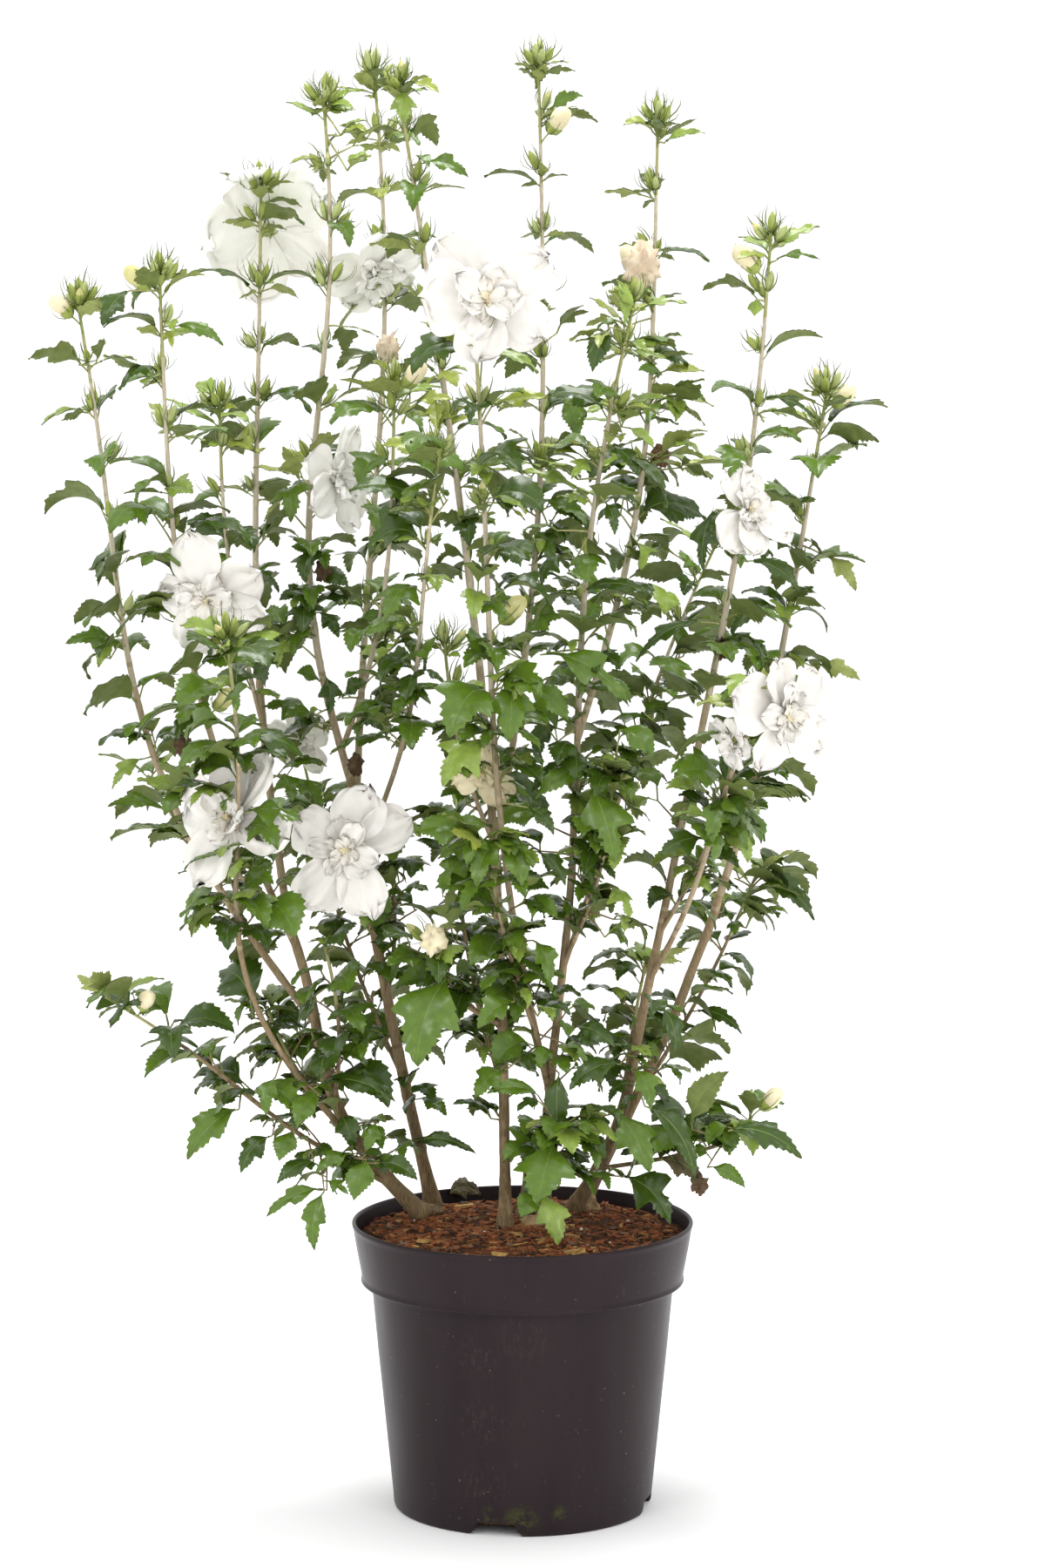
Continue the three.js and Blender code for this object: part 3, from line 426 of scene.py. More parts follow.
def grow_node(mass, space, share, turn, draws):
    """A leaf, perhaps a companion to either side of it, a spur behind it and a bud over it."""

    def above(millimetres):
        return mass.root_at(share + millimetres / mass.length)

    height = above(0)[2]
    length = profile_at(LEAF_LENGTH, height) * lerp(NODE["leaf_size"], draws[0])
    add_leaf(mass, space, above(0), turn, lerp(LEAF["lift"], draws[1]), length)
    companion = NODE["companion"]
    for side, draw in ((1, draws[2]), (-1, draws[3])):
        if draw < profile_at(COMPANION_CHANCE, height):
            aside = turn + side * lerp(companion["turn"], draw)
            lift = lerp(LEAF["lift"], draws[4])
            add_leaf(mass, space, above(side * companion["step"]), aside, lift, length * companion["size"])
    if draws[5] < profile_at(SPUR_CHANCE, height):
        behind = turn + lerp(NODE["spur"]["turn"], draws[6])
        add_spur(mass, space, above(-NODE["spur"]["below"]), behind, draws, length)
    if draws[8] < profile_at(BUD_CHANCE, height):
        lift = lerp(BUD["lift"], draws[3])
        add_bud(mass, space, above(NODE["bud"]["above"]), turn + NODE["bud"]["turn"], lift, BUD["length"])
    mass.nodes.append((share, turn, height))


NODE_DRAWS = 9


def grow_nodes(mass, space, draw):
    share = mass.first
    turn = draw() * 2 * math.pi
    while share < mass.last:
        draws = [draw() for _ in range(NODE_DRAWS)]
        height = mass.root_at(share)[2]
        grow_node(mass, space, share, turn, draws)
        turn += GOLDEN_TURN + NODE["wander"] * (draws[7] - 0.5)
        share += profile_at(NODE_SPACING, height) * lerp(NODE["spacing"], draws[6]) / mass.length


def grow_tip(mass, space, draw):
    def root_at(i):
        return mass.root_at(mass.last - i * TIP["step"] / mass.length)

    height = root_at(0)[2]
    young = profile_at(LEAF_LENGTH, height) * TIP["leaf_size"]
    start = draw() * 2 * math.pi
    bud_lifts = TIP["bud_lifts"] if height > TIP["buds_above"] else ()
    for i, lift in enumerate(bud_lifts):
        add_bud(mass, space, root_at(i), start + TIP["bud_turn"] + i * math.pi, lift, BUD["length"])
    for i in range(TIP["leaves"]):
        turn = start + i * 2 * math.pi / TIP["leaves"]
        lift = lerp(TIP["leaf_lift"], draw())
        add_leaf(mass, space, root_at(len(bud_lifts) + i), turn, lift, young, "young")


def grow_mass(mass, space, seed):
    draw = seeded(seed)
    for on, share, side, length in CREAM_BUDS:
        if on == mass.name:
            kind = "bud" if on == SHUT_BUD_ON else "cream"
            add_bud(mass, space, mass.root_at(share), math.radians(side), CREAM_BUD_LIFT, length, kind)
    grow_tip(mass, space, draw)
    grow_nodes(mass, space, draw)


# ---------------------------------------------------------------- finer growth at the same nodes

FINE_SEED = 5000
FINE_SPRAYS = ((300, 2.2), (560, 2.0), (700, 1.6), (860, 1.15), (1000, 0.8), (1200, 0.5), (1400, 0.45))
FINE_TWIG = ((300, 34), (600, 30), (900, 22), (1400, 14))
FINE_SIZE = ((300, 1.05), (600, 0.9), (900, 0.74), (1150, 0.6), (1400, 0.66))
FINE_BUDS = ((800, 0.0), (900, 0.6), (1050, 1.5), (1200, 1.9), (1440, 1.6))
# Where the crown is fuller, or more open, than the heights alone make it: x and z of the middle, the reach
# and the factor on the sprays there.
THICKETS = (
    ((-157, 1352), 60, 3.6),
    ((-32, 1289), 50, 2.4),
    ((-379, 1164), 60, 2.0),
    ((94, 1164), 55, 3.4),
    ((155, 1100), 55, 3.4),
    ((33, 990), 65, 3.5),
    ((100, 908), 40, 1.5),
    ((-225, 844), 40, 1.6),
    ((-175, 820), 65, 3.2),
    ((31, 770), 50, 2.0),
    ((31, 715), 60, 2.8),
    ((161, 715), 45, 1.9),
    ((-224, 715), 45, 1.8),
    ((-162, 650), 45, 2.0),
    ((32, 650), 40, 1.4),
    ((223, 790), 40, 1.8),
    ((290, 595), 50, 2.2),
    ((226, 585), 35, 1.4),
    ((25, 460), 55, 3.0),
    ((95, 973), 45, 0.5),
    ((160, 485), 40, 0.4),
    ((-96, 1036), 45, 0.4),
    ((-160, 945), 50, 0.5),
    ((-100, 395), 60, 2.6),
    ((-163, 388), 40, 1.5),
    ((-165, 335), 60, 2.5),
    ((-33, 388), 40, 1.4),
    ((-160, 1227), 40, 0.3),
    ((-415, 1070), 60, 0.1),
    ((-352, 905), 45, 0.4),
    ((-415, 930), 60, 0.1),
    ((-380, 860), 60, 0.1),
    ((-320, 735), 60, 0.15),
    ((-105, 1065), 60, 0.2),
    ((-96, 790), 40, 0.4),
    ((222, 911), 45, 0.4),
    ((223, 700), 50, 0.2),
    ((192, 535), 50, 0.3),
    ((-180, 525), 45, 0.3),
    ((-325, 465), 55, 0.15),
    ((200, 400), 60, 0.15),
)
# A spray: the side (degrees) to which each of its leaves turns, how far below the twig's end it springs (mm),
# and its share of the size.
SPRAY = ((0, 0, 1), (54, 5, 0.84), (-58, 9, 0.7))
# Steps are millimetres up the shoot from the node, turns are radians round it.
FINE = {
    "spray_step": (3, 4),
    "spray_turn": 2.4,
    "bud_step": (5, 3),
    "bud_turn": (0.9, 1.9),
    "twig": 5,
    "twig_lift": (20, 65),
    "fan_wander": 20,
    "leaf_size": (0.74, 1.24),
    "leaf_lift": (-6, 34),
    "clearance": 3.2,
    "between": 0.5,
    "bud_length": (20, 32),
    "bud_lift": (44, 80),
}
YOUNG_ABOVE = 1000  # the height from which the finer leaves are young

# Leaves that stand out on the front: foot and tip (x, y, z), width, tint and outline. Each hangs by a twig
# from the nearest wood.
OUTLINE_NAMES = ("lobed", "ovate", "deep")
STANDING_OUT = (
    ((-154, -46, 358), (-161, -68, 322), 31, "leaf_mid", "ovate"),
    ((-144, -40, 353), (-101, -54, 342), 21, "leaf_dark", "ovate"),
    ((-169, -30, 361), (-202, -50, 347), 21, "leaf_mid", "lobed"),
    ((-195, -60, 329), (-211, -86, 277), 26, "leaf_mid", "lobed"),
    ((-193, -44, 327), (-254, -56, 304), 19, "leaf_mid", "lobed"),
    ((-226, -50, 387), (-237, -74, 363), 26, "leaf_mid", "ovate"),
    ((-206, -40, 355), (-242, -56, 338), 19, "leaf_dark", "ovate"),
    ((-278, -60, 411), (-328, -86, 367), 38, "leaf_mid", "lobed"),
    ((-247, -36, 380), (-281, -52, 348), 28, "leaf_dark", "lobed"),
    ((-242, -60, 443), (-256, -80, 409), 24, "leaf_mid", "lobed"),
    ((-200, -56, 425), (-226, -78, 398), 27, "leaf_mid", "ovate"),
    ((-191, -30, 433), (-122, -48, 420), 26, "leaf_dark", "ovate"),
    ((-145, -20, 391), (-151, -36, 362), 22, "leaf_mid", "lobed"),
    ((-113, 10, 364), (-45, 2, 358), 16, "leaf_dark", "lobed"),
    ((-15, -56, 450), (-51, -76, 427), 31, "leaf_mid", "lobed"),
    ((15, -60, 425), (-36, -70, 433), 19, "leaf_mid", "ovate"),
    ((31, -88, 383), (19, -122, 330), 65, "leaf_mid", "lobed"),
    ((19, -92, 334), (36, -118, 289), 36, "leaf_light", "lobed"),
    ((17, -90, 332), (-3, -108, 315), 26, "leaf_mid", "ovate"),
    ((36, -50, 445), (32, -68, 384), 27, "leaf_dark", "ovate"),
    ((96, -40, 452), (41, -62, 435), 33, "leaf_dark", "lobed"),
    ((91, -50, 405), (121, -82, 352), 45, "leaf_mid", "lobed"),
    ((109, -46, 450), (130, -66, 412), 26, "leaf_mid", "lobed"),
    ((120, -60, 414), (180, -84, 348), 27, "leaf_dark", "lobed"),
    ((97, -30, 338), (153, -54, 301), 48, "leaf_dark", "deep"),
    ((166, -72, 393), (200, -82, 459), 32, "leaf_under", "ovate"),
    ((201, -84, 394), (276, -102, 377), 32, "leaf_dark", "lobed"),
    ((181, -70, 355), (221, -80, 340), 17, "leaf_mid", "ovate"),
    ((-70, -96, 548), (-109, -140, 465), 76, "leaf_mid", "lobed"),
    ((-70, -96, 597), (-74, -88, 638), 39, "leaf_under", "deep"),
    ((-12, -150, 841), (-7, -184, 778), 55, "leaf_mid", "lobed"),
    ((2, -130, 832), (53, -156, 801), 33, "leaf_mid", "ovate"),
    ((-31, -150, 784), (-90, -186, 742), 61, "leaf_light", "deep"),
    ((75, -110, 753), (-2, -130, 728), 30, "leaf_mid", "ovate"),
    ((65, -120, 737), (85, -160, 658), 65, "leaf_mid", "deep"),
    ((-25, -140, 699), (-94, -160, 689), 28, "leaf_mid", "lobed"),
    ((-18, -146, 690), (-56, -172, 643), 38, "leaf_mid", "lobed"),
    ((-17, -150, 687), (6, -176, 644), 32, "leaf_mid", "ovate"),
    ((10, -110, 586), (33, -132, 545), 27, "leaf_mid", "lobed"),
    ((93, -130, 792), (133, -150, 767), 33, "leaf_mid", "ovate"),
    ((17, -130, 864), (120, -160, 817), 42, "leaf_mid", "deep"),
    ((-8, -110, 526), (-45, -130, 504), 32, "leaf_mid", "lobed"),
    ((-203, -10, 948), (-227, -27, 965), 21, "leaf_mid", "lobed"),
    ((-208, -4, 915), (-241, -22, 909), 24, "leaf_dark", "lobed"),
    ((-204, -8, 934), (-162, -26, 922), 25, "leaf_dark", "ovate"),
    ((-200, -2, 895), (-176, -20, 869), 25, "leaf_dark", "lobed"),
    ((-167, 94, 879), (-124, 76, 883), 19, "leaf_mid", "ovate"),
    ((-204, 1, 870), (-242, -17, 888), 22, "leaf_mid", "lobed"),
    ((-166, 84, 855), (-135, 66, 834), 25, "leaf_dark", "lobed"),
    ((-200, 7, 826), (-226, -11, 841), 21, "leaf_mid", "ovate"),
    ((-194, 6, 831), (-185, -12, 789), 29, "leaf_dark", "deep"),
    ((-205, 10, 792), (-243, -8, 794), 19, "leaf_mid", "lobed"),
    ((-177, -10, 811), (-146, -28, 834), 22, "leaf_dark", "ovate"),
    ((-163, -3, 793), (-133, -21, 779), 20, "leaf_dark", "lobed"),
    ((-130, -102, 803), (-103, -120, 821), 18, "leaf_mid", "ovate"),
    ((-395, 16, 861), (-459, -2, 870), 29, "leaf_mid", "lobed"),
    ((-403, 16, 869), (-417, -2, 836), 19, "leaf_light", "ovate"),
    ((-374, 11, 749), (-411, -7, 719), 23, "leaf_light", "deep"),
    ((-355, 9, 698), (-416, -9, 710), 20, "leaf_mid", "lobed"),
    ((9, 71, 971), (36, 53, 938), 31, "leaf_mid", "lobed"),
    ((12, 78, 999), (82, 60, 972), 24, "leaf_mid", "ovate"),
    ((54, -77, 752), (-2, -95, 727), 22, "leaf_dark", "ovate"),
    ((4, -124, 717), (37, -142, 692), 22, "leaf_dark", "lobed"),
    ((13, -113, 673), (48, -131, 641), 23, "leaf_dark", "lobed"),
    ((174, -37, 888), (99, -55, 849), 22, "leaf_dark", "deep"),
    ((221, -43, 948), (277, -61, 918), 24, "leaf_dark", "lobed"),
    ((304, 120, 943), (342, 102, 905), 26, "leaf_under_young", "lobed"),
    ((294, 118, 831), (348, 100, 820), 26, "leaf_under_young", "lobed"),
    ((194, -162, 731), (175, -180, 685), 34, "leaf_mid", "lobed"),
    ((233, 152, 615), (308, 134, 571), 32, "leaf_dark", "lobed"),
    ((188, -47, 998), (168, -65, 932), 31, "leaf_dark", "deep"),
    ((58, -114, 923), (132, -132, 928), 18, "leaf_dark", "ovate"),
    ((78, -135, 1010), (91, -153, 976), 19, "leaf_dark", "lobed"),
    ((88, -177, 1219), (104, -195, 1172), 18, "leaf_light", "ovate"),
    ((82, -176, 1175), (66, -194, 1127), 28, "leaf_dark", "ovate"),
    ((137, 31, 1127), (108, 13, 1135), 21, "leaf_mid", "lobed"),
    ((144, 25, 1108), (189, 7, 1104), 22, "leaf_mid", "lobed"),
    ((39, 97, 1104), (61, 79, 1055), 30, "leaf_mid", "ovate"),
    ((83, -148, 1064), (113, -166, 1032), 23, "leaf_dark", "lobed"),
    ((232, -56, 1105), (293, -74, 1087), 15, "leaf_dark", "deep"),
    ((27, 136, 1386), (66, 118, 1407), 23, "leaf_mid", "lobed"),
    ((140, 77, 1353), (184, 59, 1368), 13, "leaf_light", "lobed"),
    ((242, -67, 1237), (290, -85, 1243), 11, "leaf_mid", "deep"),
    ((224, -64, 1200), (223, -82, 1183), 19, "leaf_light", "ovate"),
    ((-200, -28, 430), (-125, -46, 425), 24, "leaf_dark", "lobed"),
    ((-111, 67, 349), (-56, 49, 356), 18, "leaf_dark", "lobed"),
    ((-157, 4, 384), (-134, -14, 364), 19, "leaf_mid", "ovate"),
    ((136, -2, 504), (158, -20, 457), 25, "leaf_dark", "lobed"),
    ((176, 127, 477), (229, 109, 461), 18, "leaf_dark", "lobed"),
    ((49, -31, 488), (92, -49, 472), 22, "leaf_dark", "ovate"),
    ((-369, -157, 1209), (-398, -175, 1172), 33, "leaf_dark", "lobed"),
    ((-326, -152, 1176), (-270, -170, 1159), 20, "leaf_mid", "lobed"),
    ((-97, 26, 1332), (-45, 8, 1320), 24, "leaf_mid", "lobed"),
    ((-118, 31, 1402), (-114, 13, 1366), 33, "leaf_light", "lobed"),
    ((135, -60, 361), (178, -74, 345), 30, "leaf_dried", "lobed"),
)
# Against the other leaves: longer by this factor, bent to these tilts (degrees), rolled by this share of the
# way to the front, and with less fold.
STANDING_OUT_FORM = {
    "longer": 1.06,
    "bend": (30, -34),
    "roll": 0.85,
    "fold": 0.7,
    "ripple": 0.03,
    "petiole": 0.06,
}
TO_THE_FRONT = np.array([0.0, -1.0, 0.35])
WOOD_POINTS = 60


def wood_points(limbs, masses):
    """Points along the bare limbs and along the shoots of some masses."""
    shares = np.linspace(0, 1, WOOD_POINTS)
    wood = [limb.at(share) for limb in limbs.values() for share in shares * limb.leafy]
    wood += [mass.root_at(share) for mass in masses for share in shares if share >= mass.start]
    return np.array(wood)


def nearest_mass(point, masses):
    return min(masses, key=lambda mass: np.min(np.linalg.norm(mass.path - point, axis=1)))


def hang_leaves(limbs, masses):
    """The leaves that stand out, each with its twig, given to the mass whose shoot is nearest."""
    for foot, tip, width, tint, outline in STANDING_OUT:
        foot = np.array(foot, float)
        chord = np.array(tip, float) - foot
        length = float(np.linalg.norm(chord))
        turn = math.atan2(chord[1], chord[0])
        lift = math.degrees(math.asin(chord[2] / length))
        look = {"width": width, "tint": tint, "outline": OUTLINE_NAMES.index(outline)}
        look["bend"] = STANDING_OUT_FORM["bend"]
        mass = nearest_mass(foot, masses)
        mass.bear_leaf(foot, turn, lift, length * STANDING_OUT_FORM["longer"], **look)
        wood = wood_points(limbs, [mass])
        start = wood[np.argmin(np.linalg.norm(wood - foot, axis=1))]
        mass.twigs.append((start, foot))
        dress_twig(mass, start, foot, length)


# Side shoots where the photograph is denser than the nodes make it: x and z of the place, and how many.
FILLED_PLACES = (
    ((-158, 1352), 5), ((-158, 1165), 3), ((32, 1165), 2), ((95, 1165), 2), ((158, 1100), 4), ((95, 1100), 2),
    ((-222, 1036), 3), ((32, 1036), 4), ((158, 1036), 4), ((32, 973), 4), ((32, 908), 3), ((96, 908), 2),
    ((160, 908), 3), ((-417, 844), 2), ((-225, 844), 3), ((-160, 844), 2), ((-225, 780), 3), ((-160, 780), 3),
    ((32, 780), 4), ((-418, 715), 2), ((32, 715), 4), ((160, 715), 4), ((32, 650), 2), ((97, 585), 2),
    ((226, 585), 3), ((290, 585), 3), ((32, 519), 3), ((32, 454), 5), ((-226, 388), 2), ((-162, 388), 4),
    ((-98, 388), 2), ((-33, 388), 3), ((-163, 322), 5), ((-222, 875), 3), ((-222, 740), 3), ((-222, 685), 2),
    ((-160, 600), 4), ((-95, 1100), 3), ((-32, 1100), 2), ((-32, 1290), 2),
)  # fmt: skip
FILL = {
    "seed": 4100,
    "near": 42,
    "stray": 30,
    "twig": (10, 40),
    "leaf": (0.5, 0.8),
    "fan": (0, 1.1),
    "lift": (-30, 45),
}


def fill_places(limbs, masses):
    """Side shoots with two leaves each, on the wood that passes such a place."""
    wood = wood_points(limbs, masses)
    draw = seeded(FILL["seed"])
    for (x, z), count in FILLED_PLACES:
        near = wood[np.hypot(wood[:, 0] - x, wood[:, 2] - z) < FILL["near"]]
        for _ in range(count if len(near) else 0):
            root = near[int(draw() * len(near))]
            aim = np.array([x, root[1], z]) + FILL["stray"] * np.array([2 * draw() - 1 for _ in range(3)])
            way = unit(aim - root)
            foot = root + way * lerp(FILL["twig"], draw())
            mass = nearest_mass(foot, masses)
            mass.twigs.append((root, foot))
            for side in (-1, 1):
                turn = math.atan2(way[1], way[0]) + side * lerp(FILL["fan"], draw())
                lift = lerp(FILL["lift"], draw())
                length = profile_at(LEAF_LENGTH, z) * lerp(FILL["leaf"], draw())
                mass.bear_leaf(foot, turn, lift, length, "grown" if z < YOUNG_ABOVE else "young")


# The leaves along a twig: their spacing, how many steps from the wood the first one springs, the share of the
# twig past which none does, and the length of the twig's own leaf beyond which they grow no more.
SIDE_LEAF = {
    "every": 15,
    "first": 0.6,
    "last": 0.94,
    "longest": 62,
    "size": (0.5, 0.75),
    "turn": (0.7, 1.3),
    "lift": (-20, 25),
}


def dress_twig(mass, wood, foot, length):
    """Smaller leaves along a twig that is long enough to show, to either side in turn."""
    run = foot - wood
    reach = float(np.linalg.norm(run))
    ahead = math.atan2(run[1], run[0])
    draw = seeded(round(reach * 100))  # the twig's length gives it a seed of its own
    for i in range(int(reach / SIDE_LEAF["every"])):
        share = min((i + SIDE_LEAF["first"]) * SIDE_LEAF["every"] / reach, SIDE_LEAF["last"])
        turn = ahead + (1 if i % 2 else -1) * lerp(SIDE_LEAF["turn"], draw())
        lift = lerp(SIDE_LEAF["lift"], draw())
        size = min(length, SIDE_LEAF["longest"]) * lerp(SIDE_LEAF["size"], draw())
        mass.bear_leaf(wood + run * share, turn, lift, size)


CROWN = {
    "buds": 3,
    "step": 3,
    "lift": (40, 80),
    "length": (24, 34),
    "leaves": 3,
    "leaf_turn": 1,
    "leaf_lift": (15, 60),
    "leaf_length": (26, 44),
}


def count_from(expected, chance):
    """A whole number whose mean is the expected one."""
    return int(expected + chance)


def fullness_at(point):
    """The factor on the sprays at a place, from the thickets round it."""
    fullness = 1.0
    for (x, z), reach, factor in THICKETS:
        near = math.exp(-(((point[0] - x) ** 2 + (point[2] - z) ** 2) / reach**2))
        fullness *= 1 + (factor - 1) * near
    return fullness


def grow_spray(mass, space, root, side, draw):
    """A side twig with up to three leaves at its end."""
    height = root[2]
    along = heading(side, lerp(FINE["twig_lift"], draw()))
    end = root + along * lerp((FINE["twig"], profile_at(FINE_TWIG, height)), draw())
    full = profile_at(LEAF_LENGTH, height) * profile_at(FINE_SIZE, height)
    age = "grown" if height < YOUNG_ABOVE else "young"
    room = {"clearance": FINE["clearance"], "between": FINE["between"]}
    is_leafy = False
    for fan, below, size in SPRAY:
        length = full * size * lerp(FINE["leaf_size"], draw())
        turn = side + math.radians(fan + FINE["fan_wander"] * (draw() - 0.5))
        lift = lerp(FINE["leaf_lift"], draw())
        is_leafy |= add_leaf(mass, space, end - along * below, turn, lift, length, age, **room)
    if is_leafy:
        mass.twigs.append((root, end))


def grow_finer(mass, space, seed):
    """Sprays of smaller leaves, and more buds, at the nodes that the rule made."""
    draw = seeded(seed)

    def above(share, step, i):
        return mass.root_at(share + (step[0] + step[1] * i) / mass.length)

    for share, turn, height in mass.nodes:
        sprays = profile_at(FINE_SPRAYS, height) * fullness_at(mass.root_at(share))
        for i in range(count_from(sprays, draw())):
            side = turn + (i + 0.5) * FINE["spray_turn"] + draw()
            grow_spray(mass, space, above(share, FINE["spray_step"], i), side, draw)
        for i in range(count_from(profile_at(FINE_BUDS, height), draw())):
            side = turn + FINE["bud_turn"][0] + FINE["bud_turn"][1] * i + draw()
            lift = lerp(FINE["bud_lift"], draw())
            mass.bear_bud(above(share, FINE["bud_step"], i), side, lift, lerp(FINE["bud_length"], draw()))
    if mass.path[-1][2] > TIP["buds_above"]:
        grow_crown(mass, draw)


def grow_crown(mass, draw):
    """The cluster of small buds and leaves round a shoot's tip."""

    def root_at(i):
        return mass.root_at(mass.last - CROWN["step"] * i / mass.length)

    start = draw() * 2 * math.pi
    for i in range(CROWN["buds"]):
        lift = lerp(CROWN["lift"], draw())
        mass.bear_bud(root_at(i), start + i * GOLDEN_TURN, lift, lerp(CROWN["length"], draw()))
    for i in range(CROWN["leaves"]):
        turn = start + CROWN["leaf_turn"] + i * GOLDEN_TURN
        lift = lerp(CROWN["leaf_lift"], draw())
        mass.bear_leaf(root_at(i + 1), turn, lift, lerp(CROWN["leaf_length"], draw()), "young")


# ---------------------------------------------------------------- meshes


class Heap:
    """Gathers pieces of mesh, in millimetres, and makes one object of them. slots: its materials' names."""

    def __init__(self, *materials):
        self.materials = materials
        self.points = []
        self.faces = []
        self.slots = []
        self.count = 0

    def slot(self, material):
        return self.materials.index(material)

    def add(self, points, faces, slots):
        points = np.asarray(points, float).reshape(-1, 3)
        faces = np.asarray(faces, int)
        self.points.append(points)
        self.faces.append(faces + self.count)
        self.slots.append(np.broadcast_to(slots, len(faces)))
        self.count += len(points)

    def build(self, name, smooth=True):
        mesh = bpy.data.meshes.new(name)
        points = np.concatenate(self.points) * MM
        corners = np.concatenate([faces.ravel() for faces in self.faces])
        totals = np.concatenate([np.full(len(faces), faces.shape[1]) for faces in self.faces])
        mesh.vertices.add(len(points))
        mesh.vertices.foreach_set("co", points.ravel())
        mesh.loops.add(len(corners))
        mesh.loops.foreach_set("vertex_index", corners)
        mesh.polygons.add(len(totals))
        mesh.polygons.foreach_set("loop_start", np.concatenate([[0], np.cumsum(totals)[:-1]]))
        mesh.polygons.foreach_set("material_index", np.concatenate(self.slots))
        mesh.polygons.foreach_set("use_smooth", np.full(len(totals), smooth))
        mesh.update(calc_edges=True)
        mesh.validate()
        for material in self.materials:
            mesh.materials.append(MATERIALS[material])
        piece = bpy.data.objects.new(name, mesh)
        bpy.context.scene.collection.objects.link(piece)
        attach(piece, "root")
        return piece


def grid_faces(rows, columns, closed=False):
    """Quads over a grid of rows by columns of points; closed joins the last column to the first."""
    across = columns if closed else columns - 1
    row, column = np.meshgrid(np.arange(rows - 1), np.arange(across), indexing="ij")
    after = (column + 1) % columns
    low, high = row * columns, (row + 1) * columns
    return np.stack([low + column, low + after, high + after, high + column], axis=-1).reshape(-1, 4)


NEAR_Y = 0.8  # the share of a way along y from which x is its reference


def frame_along(way):
    """Two directions square to way and to each other."""
    reference = (0, 1, 0) if abs(way[1]) < NEAR_Y else (1, 0, 0)
    across = unit(np.cross(reference, way))
    return across, np.cross(across, way)


def turns_round(count):
    return np.arange(count) * 2 * math.pi / count


def ring_round(way, turns, reach):
    """Points round a way, one for each turn, at its reach."""
    across, over = frame_along(way)
    return np.outer(np.cos(turns) * reach, across) + np.outer(np.sin(turns) * reach, over)


def tube(heap, points, radii, sides, slots, relief=None):
    """A tube through points, closed by its own narrowing. relief: the share of the radius at (row, side)."""
    points = np.asarray(points, float)
    if relief is None:
        relief = np.ones((len(points), sides))
    rings = [np.repeat(points[:1], sides, axis=0)]
    for point, way, radius, shares in zip(points, np.gradient(points, axis=0), radii, relief):
        rings.append(point + ring_round(unit(way), turns_round(sides), radius * shares))
    rings.append(np.repeat(points[-1:], sides, axis=0))
    if np.ndim(slots):
        slots = np.repeat(np.concatenate([slots[:1], slots]), sides)
    heap.add(rings, grid_faces(len(rings), sides, closed=True)[:, ::-1], slots)


def noise_at(x, y, z):
    return noise.noise(Vector((x, y, z)))


BALL_SIDES = 20
BALL_FINE_GRAIN = 5
BALL_POLE = 0.02  # how far a ball's ends stop short of its poles, in rows


def add_ball(heap, centre, size, tone, form, draw):
    """A ball crumpled by coarse and fine noise. form: its rows, the noise's offset, grain and shares."""
    rows = form["rows"]
    offset = form["offset"] * draw()
    points = []
    for row in range(rows):
        polar = math.pi * (row + BALL_POLE) / (rows - 1 + 2 * BALL_POLE)
        for turn in turns_round(BALL_SIDES):
            level = math.sin(polar)
            way = np.array([level * math.cos(turn), level * math.sin(turn), math.cos(polar)])
            coarse = noise_at(*(way * form["grain"] + offset))
            fine = noise_at(*(way * BALL_FINE_GRAIN + offset))
            reach = form["girth"] + form["crumple"] * (coarse + form["fine"] * fine)
            points.append(np.array(centre) + way * size / 2 * reach)
    heap.add(points, grid_faces(rows, BALL_SIDES, closed=True)[:, ::-1], heap.slot(tone))


# ---------------------------------------------------------------- leaves

# Half outlines of a blade, from its base to its tip: the share of its length at the midrib, the share at the
# edge and the share of its half width.
LOBED = (
    (0, 0, 0.04), (0.06, 0.06, 0.14), (0.13, 0.14, 0.36), (0.19, 0.215, 0.56), (0.24, 0.29, 0.76),
    (0.275, 0.305, 0.7), (0.32, 0.385, 0.94), (0.355, 0.405, 0.86), (0.405, 0.5, 1), (0.45, 0.525, 0.84),
    (0.49, 0.54, 0.58), (0.53, 0.575, 0.5), (0.575, 0.655, 0.6), (0.62, 0.677, 0.47), (0.675, 0.755, 0.5),
    (0.72, 0.775, 0.36), (0.775, 0.85, 0.36), (0.82, 0.87, 0.22), (0.9, 0.935, 0.16), (1, 1, 0.01),
)
OVATE = (
    (0, 0, 0.04), (0.06, 0.07, 0.2), (0.13, 0.15, 0.44), (0.2, 0.24, 0.7), (0.25, 0.31, 0.88),
    (0.29, 0.33, 0.8), (0.34, 0.42, 1), (0.385, 0.44, 0.9), (0.44, 0.53, 0.96), (0.48, 0.545, 0.8),
    (0.53, 0.62, 0.84), (0.57, 0.637, 0.66), (0.62, 0.71, 0.68), (0.66, 0.725, 0.5), (0.71, 0.79, 0.5),
    (0.755, 0.805, 0.36), (0.81, 0.875, 0.33), (0.85, 0.887, 0.21), (0.92, 0.95, 0.12), (1, 1, 0.01),
)
DEEP = (
    (0, 0, 0.04), (0.07, 0.075, 0.12), (0.15, 0.165, 0.3), (0.21, 0.24, 0.52), (0.27, 0.33, 0.76),
    (0.305, 0.345, 0.72), (0.355, 0.45, 0.98), (0.395, 0.53, 1), (0.435, 0.54, 0.74), (0.47, 0.55, 0.5),
    (0.505, 0.565, 0.34), (0.55, 0.62, 0.33), (0.6, 0.685, 0.44), (0.64, 0.7, 0.32), (0.695, 0.775, 0.38),
    (0.735, 0.787, 0.26), (0.79, 0.86, 0.28), (0.83, 0.872, 0.17), (0.91, 0.945, 0.1), (1, 1, 0.01),
)
OUTLINES = np.array([LOBED, OVATE, DEEP])
